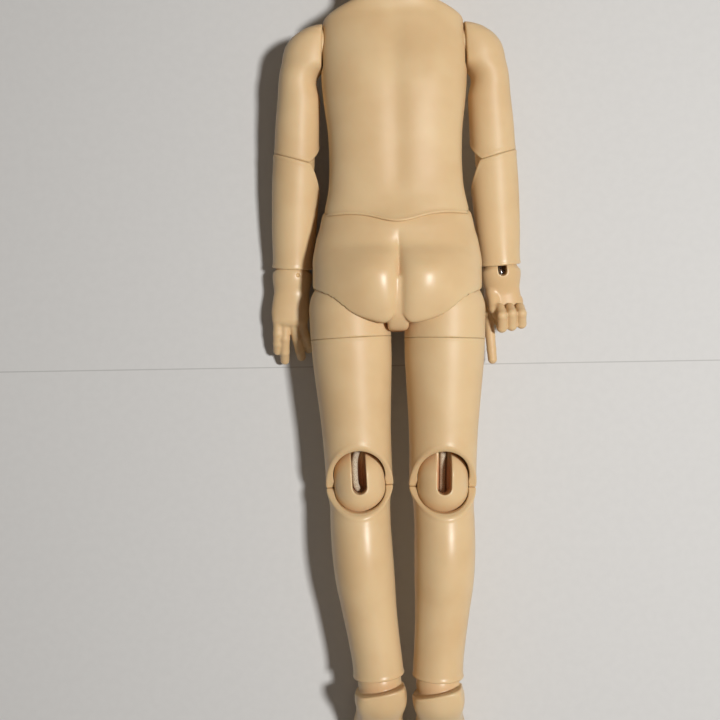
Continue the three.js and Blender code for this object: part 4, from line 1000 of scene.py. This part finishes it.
def bumps(tree, shader, height, strength, distance):
    bumped = node(tree, "ShaderNodeBump", {"Strength": strength, "Distance": distance}, {"Height": height})
    tree.links.new(bumped, shader.inputs["Normal"])


def node(tree, kind, settings=None, links=None, out=0):
    """Adds a node, sets its inputs or properties by name, links its inputs, and gives one of its outputs."""
    new = tree.nodes.new(kind)
    for key, value in (settings or {}).items():
        if isinstance(key, int) or key in new.inputs:
            new.inputs[key].default_value = value
        else:
            setattr(new, key, value)
    for key, source in (links or {}).items():
        tree.links.new(source, new.inputs[key])
    return new.outputs[out]


def blank(name):
    """A new material, its tree, its shader and the point's place in the object."""
    material = bpy.data.materials.new(name)
    material.use_nodes = True
    tree = material.node_tree
    place = node(tree, "ShaderNodeTexCoord", out=3)
    return material, tree, tree.nodes["Principled BSDF"], place


def blend_of(tree, factor, low, high):
    """Colour between two colours, each a linear colour or another node's output."""
    mix = tree.nodes.new("ShaderNodeMix")
    mix.data_type = "RGBA"
    for socket, value in ((mix.inputs["Factor"], factor), (mix.inputs[6], low), (mix.inputs[7], high)):
        if isinstance(value, bpy.types.NodeSocket):
            tree.links.new(value, socket)
        else:
            socket.default_value = value
    return mix.outputs[2]


def span(tree, value, low, high, to_low=0.0, to_high=1.0):
    return node(tree, "ShaderNodeMapRange", {"From Min": low, "From Max": high, "To Min": to_low,
                                             "To Max": to_high, "interpolation_type": "SMOOTHSTEP"},
                {"Value": value})


def cast_urethane_resin():
    """Cast polyurethane resin, wet-sanded and unpainted: pale peach, a little light passes into it, with
    a satin gloss. Deep inside the joints, slots and bores its colour is blended to a warmer brown: painted
    shade."""
    colours = bpy.context.scene.doll_finish
    material, tree, shader, place = blank("cast_urethane_resin")
    cloud = noise(tree, place, 38.0, 3.0)
    skin_tone = blend_of(tree, span(tree, cloud, 0.35, 0.65), list(colours.resin_pale), list(colours.resin))
    # Painted shade: the deeper a point lies under its piece's outer form, the more its colour turns to the
    # warm brown
    deep = node(tree, "ShaderNodeAttribute", {"attribute_name": "depth"}, out=2)
    colour = blend_of(tree, span(tree, deep, 1.5, 9.0, 0.0, 0.6), skin_tone, list(colours.resin_painted_shade))
    tree.links.new(colour, shader.inputs["Base Color"])
    # The sanding left chest, arms and thighs duller than hips and shins
    patches = noise(tree, place, 90.0, 4.0, Roughness=0.6)
    level = node(tree, "ShaderNodeSeparateXYZ", links={"Vector": place}, out=1)
    dull = total(tree, span(tree, level, -0.065, -0.055, 0.0, 0.12), span(tree, level, 0.0, 0.008, 0.3, 0.18),
                 span(tree, level, 0.02, 0.045, 0.0, 0.14))
    rough = node(tree, "ShaderNodeMath", {"operation": "MULTIPLY_ADD", 1: 0.07}, {0: patches, 2: dull})
    tree.links.new(rough, shader.inputs["Roughness"])
    # Sanding leaves marks near 0.5 mm across: only just seen in the highlights
    grit, waves = noise(tree, place, 1900.0, 2.0), noise(tree, place, 140.0, 1.0)
    height = node(tree, "ShaderNodeMath", {"operation": "MULTIPLY_ADD", 1: 0.06}, {0: grit, 2: waves})
    bumps(tree, shader, height, 0.25, 0.0003)
    shader.inputs["IOR"].default_value = 1.4
    shader.inputs["Subsurface Weight"].default_value = 0.18
    shader.inputs["Subsurface Radius"].default_value = (1.0, 0.52, 0.3)
    shader.inputs["Subsurface Scale"].default_value = 0.0035
    return material


def braided_elastic():
    """Round elastic with a woven polyester cover: dull off-white, mottled with a darker beige at random."""
    material, tree, shader, place = blank("woven_polyester_elastic")
    fuzz = noise(tree, place, 2600.0, 3.0)
    cover = list(bpy.context.scene.doll_finish.elastic)
    tone = blend_of(tree, span(tree, fuzz, 0.3, 0.7), hex_rgba("#a8977c"), cover)
    tree.links.new(tone, shader.inputs["Base Color"])
    bumps(tree, shader, fuzz, 0.5, 0.0001)
    shader.inputs["Roughness"].default_value = 0.78
    shader.inputs["Sheen Weight"].default_value = 0.3
    return material


def drawn_steel():
    """Drawn stainless wire: grey metal of uneven roughness."""
    material, tree, shader, place = blank("drawn_stainless_steel")
    lines = noise(tree, place, 1500.0, 2.0)
    tree.links.new(span(tree, lines, 0.3, 0.7, 0.22, 0.38), shader.inputs["Roughness"])
    tone = blend_of(tree, lines, hex_rgba("#b4b5b8"), hex_rgba("#cfd0d2"))
    tree.links.new(tone, shader.inputs["Base Color"])
    shader.inputs["Metallic"].default_value = 1.0
    return material


def plated_magnet():
    """Nickel plating over a sintered disc: bright, faintly warm, with small soft scuffs."""
    material, tree, shader, place = blank("nickel_plating")
    scuffs = noise(tree, place, 700.0, 4.0)
    tree.links.new(span(tree, scuffs, 0.4, 0.7, 0.16, 0.34), shader.inputs["Roughness"])
    tone = blend_of(tree, scuffs, hex_rgba("#b9b6af"), hex_rgba("#d2cfc8"))
    tree.links.new(tone, shader.inputs["Base Color"])
    shader.inputs["Metallic"].default_value = 1.0
    return material


def matt_paper():
    """Uncoated white paper: matt, with fibre mottling a few millimetres across."""
    material, tree, shader, place = blank("uncoated_paper")
    fibre = noise(tree, place, 260.0, 5.0)
    paper = list(bpy.context.scene.doll_finish.paper)
    tone = blend_of(tree, span(tree, fibre, 0.3, 0.7, 0, 0.3), paper, [0.93 * c for c in paper[:3]] + [1.0])
    # A thin grey line is painted across the floor where a sheet's edge lies: painted shadow of the edge
    across = (-SHEET_EDGE_SHADE["rise"], 1.0, 0.0)
    along = node(tree, "ShaderNodeVectorMath", {"operation": "DOT_PRODUCT", 1: across}, {0: place}, out=1)
    off = node(tree, "ShaderNodeMath", {"operation": "ADD", 1: SHEET_EDGE_SHADE["below"]}, {0: along})
    off = node(tree, "ShaderNodeMath", {"operation": "ABSOLUTE"}, {0: off})
    edge = span(tree, off, SHEET_EDGE_SHADE["core"], SHEET_EDGE_SHADE["fade"], 0.45, 0.0)
    tree.links.new(blend_of(tree, edge, tone, [0.3, 0.3, 0.29, 1.0]), shader.inputs["Base Color"])
    shader.inputs["Roughness"].default_value = 0.9
    shader.inputs["Specular IOR Level"].default_value = 0.2
    return material


FINISHES = {"resin": cast_urethane_resin, "elastic": braided_elastic, "steel": drawn_steel,
            "magnet": plated_magnet, "paper": matt_paper}
made = {}


def finish(name):
    if name not in made:
        made[name] = FINISHES[name]()
    return made[name]


# Values that a user would change

def colour_value(name, description, text):
    """A colour that the panel shows."""
    return FloatVectorProperty(name=name, description=description, subtype="COLOR", size=4, min=0, max=1,
                               default=hex_rgba(text))


class DollFinish(bpy.types.PropertyGroup):
    resin: colour_value("Resin", "Colour of the cast resin", "#d8b88b")
    resin_pale: colour_value("Resin, pale", "Paler clouds in the resin", "#dec195")
    # Painted shade: the warm brown that the resin is blended to deep inside joints, slots and bores
    resin_painted_shade: colour_value("Resin, deep", "Resin deep inside a joint", "#cc8a66")
    elastic: colour_value("Elastic", "Colour of the woven elastic", "#ddd0ba")
    paper: colour_value("Paper", "Colour of the floor", "#d6d6d5")


class DollStage(bpy.types.PropertyGroup):
    camera_height: FloatProperty(name="Camera height", description="Height of the camera over the floor",
                                 unit="LENGTH", default=0.47, min=0.2)
    field: FloatProperty(name="Field", description="Width of the picture at half the doll's thickness",
                         unit="LENGTH", default=0.324, min=0.05)
    key_power: FloatProperty(name="Key light", description="Power of the main lamp", unit="POWER",
                             default=8.9, min=0)
    world: FloatProperty(name="World", description="Strength of the light all round", default=0.11, min=0)


# Operators

class DollOperator:
    bl_options = {"REGISTER", "UNDO"}

    def execute(self, context):
        self.make()
        return {"FINISHED"}


class DOLL_OT_torso(DollOperator, bpy.types.Operator):
    """The hollow chest with its neck, shoulder seats and waist seat"""
    bl_idname = "doll.torso"
    bl_label = "Torso"

    def make(self):
        cast("upper_torso", upper_torso, torso_outer, "torso")


class DOLL_OT_pelvis(DollOperator, bpy.types.Operator):
    """The lower torso, with its waist barrel and two hip seats"""
    bl_idname = "doll.pelvis"
    bl_label = "Pelvis"

    def make(self):
        cast("lower_torso", lower_torso, lambda p: pelvis_outer(p, 0), "lower_torso")


class DOLL_OT_head(DollOperator, bpy.types.Operator):
    """The hollow head and its lift-off cap"""
    bl_idname = "doll.head"
    bl_label = "Head"

    def make(self):
        for name, form in (("head", head), ("head_cap", head_cap)):
            cast(name, form, head_outer, name)


class DOLL_OT_arms(DollOperator, bpy.types.Operator):
    """Upper arms, elbow pieces and forearms"""
    bl_idname = "doll.arms"
    bl_label = "Arms"

    def make(self):
        for name, s in SIDES.items():
            cast(f"{name}_upper_arm", lambda p: upper_arm(p, s), lambda p: arm_outer(p, s),
                 f"{name}_upper_arm")
            turn = matrix(y=s * ELBOW["turn"])
            cast(f"{name}_elbow_joint", lambda p: double_joint(p, ELBOW, turn),
                 lambda p: joint_ball(seen(p, turn=turn), ELBOW), f"{name}_elbow")
            cast(f"{name}_forearm", lambda p: forearm(p, s), forearm_outer, f"{name}_forearm")


class DOLL_OT_hands(DollOperator, bpy.types.Operator):
    """Hands with their slotted wrist balls"""
    bl_idname = "doll.hands"
    bl_label = "Hands"

    def make(self):
        for name in SIDES:
            cast(f"{name}_hand", lambda p: hand(p, name), lambda p: hand_outer(p, name), f"{name}_hand")


class DOLL_OT_hips(DollOperator, bpy.types.Operator):
    """Hip pieces: a slotted ball with a spigot that turns in the thigh"""
    bl_idname = "doll.hips"
    bl_label = "Hips"

    def make(self):
        for name in SIDES:
            cast(f"{name}_hip_joint", hip_joint, hip_outer, f"{name}_hip")


class DOLL_OT_thighs(DollOperator, bpy.types.Operator):
    """Thighs, open at the knee"""
    bl_idname = "doll.thighs"
    bl_label = "Thighs"

    def make(self):
        for name in SIDES:
            cast(f"{name}_thigh", thigh, thigh_outer, f"{name}_thigh")


class DOLL_OT_knees(DollOperator, bpy.types.Operator):
    """Knee pieces: two balls in one, with a slot at the back"""
    bl_idname = "doll.knees"
    bl_label = "Knees"

    def make(self):
        turn = matrix(y=KNEE["turn"])
        for name in SIDES:
            cast(f"{name}_knee_joint", lambda p: double_joint(p, KNEE, turn),
                 lambda p: joint_ball(seen(p, turn=turn), KNEE), f"{name}_knee")


class DOLL_OT_shins(DollOperator, bpy.types.Operator):
    """Shins, open at the knee and the ankle"""
    bl_idname = "doll.shins"
    bl_label = "Shins"

    def make(self):
        for name, s in SIDES.items():
            cast(f"{name}_shin", lambda p: shin(p, name), lambda p: shin_outer(p, s), f"{name}_shin")


class DOLL_OT_feet(DollOperator, bpy.types.Operator):
    """Feet with their slotted ankle balls"""
    bl_idname = "doll.feet"
    bl_label = "Feet"

    def make(self):
        for name in SIDES:
            cast(f"{name}_foot", foot, foot_outer, f"{name}_foot")


class DOLL_OT_cords(DollOperator, bpy.types.Operator):
    """The woven elastic, one stretch for each body"""
    bl_idname = "doll.cords"
    bl_label = "Elastic"

    def make(self):
        for name, (body, points) in cord_paths().items():
            piece(f"{name}_braid", braided(points), PLACES[body], body, [name], finish("elastic"))


class DOLL_OT_wires(DollOperator, bpy.types.Operator):
    """Wire hooks and the pins that they hold"""
    bl_idname = "doll.wires"
    bl_label = "Hooks and pins"

    def make(self):
        hooks = {"neck_hook": ("neck_hook", NECK, NECK["stem"] + NECK["ball"], NECK["ball"])}
        for name in SIDES:
            hooks[f"{name}_wrist_hook"] = (f"{name}_wrist_hook", WRIST, WRIST["stem"], 0)
            hooks[f"{name}_ankle_hook"] = (f"{name}_ankle_hook", ANKLE, ANKLE["stem"], 0)
            for part, size in (("hand", WRIST), ("foot", ANKLE)):
                ends = [(end * size["pin_half"], 0, 0) for end in (-1, 1)]
                bar = turned_rod(*ends, size["pin"], 0.25)
                piece(f"{name}_{part}_pin_bar", bar, PLACES[f"{name}_{part}"], f"{name}_{part}",
                      [f"{name}_{part}_pin"], finish("steel"))
        for name, (body, size, stem, drop) in hooks.items():
            piece(f"{name}_wire", wire_hook(size, stem, drop), PLACES[body], body, [name], finish("steel"))


class DOLL_OT_magnets(DollOperator, bpy.types.Operator):
    """The disc magnets on the cap's seam"""
    bl_idname = "doll.magnets"
    bl_label = "Magnets"

    def make(self):
        half = HEAD["magnet_height"] / 2
        for body, label, way in (("head", "head", -1), ("head_cap", "cap", 1)):
            for end, word in ((-1, "front"), (1, "rear")):
                centre = magnet_at(end, HEAD["cap_cut"] + way * (GAP + half))
                reach = half * np.array(CAP_UP)
                disc = turned_rod(centre - reach, centre + reach, HEAD["magnet"], 0.2)
                piece(f"{label}_magnet_{word}_disc", disc, PLACES[body], body, [f"{label}_magnet_{word}"],
                      finish("magnet"))


class DOLL_OT_stage(DollOperator, bpy.types.Operator):
    """The paper floor, the lamps and the camera over the doll"""
    bl_idname = "doll.stage"
    bl_label = "Stage"

    def make(self):
        scene = bpy.context.scene
        values = scene.doll_stage
        reach = 1.6
        mesh = bpy.data.meshes.new("paper_floor")
        mesh.from_pydata([(-reach, -reach, 0), (reach, -reach, 0), (reach, reach, 0), (-reach, reach, 0)], [],
                         [(0, 1, 2, 3)])
        mesh.materials.append(finish("paper"))
        floor = bpy.data.objects.new("paper_floor", mesh)
        scene.collection.objects.link(floor)
        middle = (PIVOTS["waist_bend"] + PICTURE["middle"]) * MM
        camera = bpy.data.cameras.new("camera")
        camera.sensor_fit = "HORIZONTAL"
        camera.angle = 2 * math.atan(values.field / 2 / (values.camera_height - PICTURE["half_thick"] * MM))
        eye = bpy.data.objects.new("camera", camera)
        eye.location = (middle[0], middle[1], values.camera_height)
        scene.collection.objects.link(eye)
        scene.camera = eye
        for name, (spot, share, size, colour) in LAMPS.items():
            lamp = bpy.data.lights.new(name, "AREA")
            lamp.energy, lamp.size, lamp.color = share * values.key_power, size, colour
            light = bpy.data.objects.new(name, lamp)
            light.location = Vector(spot)
            light.rotation_euler = (Vector((0, 0, 0)) - light.location).to_track_quat("-Z", "Y").to_euler()
            scene.collection.objects.link(light)
        world = bpy.data.worlds.new("studio")
        scene.world = world
        world.use_nodes = True
        sky = world.node_tree.nodes["Background"].inputs
        sky["Color"].default_value = (1.0, 0.88, 0.78, 1.0)
        sky["Strength"].default_value = values.world
        scene.view_settings.view_transform = "Standard"


STEPS = (DOLL_OT_torso, DOLL_OT_pelvis, DOLL_OT_head, DOLL_OT_arms, DOLL_OT_hands, DOLL_OT_hips,
         DOLL_OT_thighs, DOLL_OT_knees, DOLL_OT_shins, DOLL_OT_feet, DOLL_OT_cords, DOLL_OT_wires,
         DOLL_OT_magnets, DOLL_OT_stage)


class DOLL_PT_panel(bpy.types.Panel):
    """Every step and its values"""
    bl_idname = "DOLL_PT_panel"
    bl_label = "Ball jointed doll"
    bl_space_type = "VIEW_3D"
    bl_region_type = "UI"
    bl_category = "Doll"

    def draw(self, context):
        layout = self.layout
        for group in (context.scene.doll_finish, context.scene.doll_stage):
            for key in group.bl_rna.properties.keys()[2:]:
                layout.prop(group, key)
        for step in STEPS:
            layout.operator(step.bl_idname)


CLASSES = (DollFinish, DollStage, *STEPS, DOLL_PT_panel)


def register():
    for item in CLASSES:
        bpy.utils.register_class(item)
    bpy.types.Scene.doll_finish = PointerProperty(type=DollFinish)
    bpy.types.Scene.doll_stage = PointerProperty(type=DollStage)


def unregister():
    del bpy.types.Scene.doll_finish
    del bpy.types.Scene.doll_stage
    for item in reversed(CLASSES):
        bpy.utils.unregister_class(item)


def main():
    register()
    for step in STEPS:
        group, name = step.bl_idname.split(".")
        getattr(getattr(bpy.ops, group), name)()


if __name__ == "__main__":
    main()
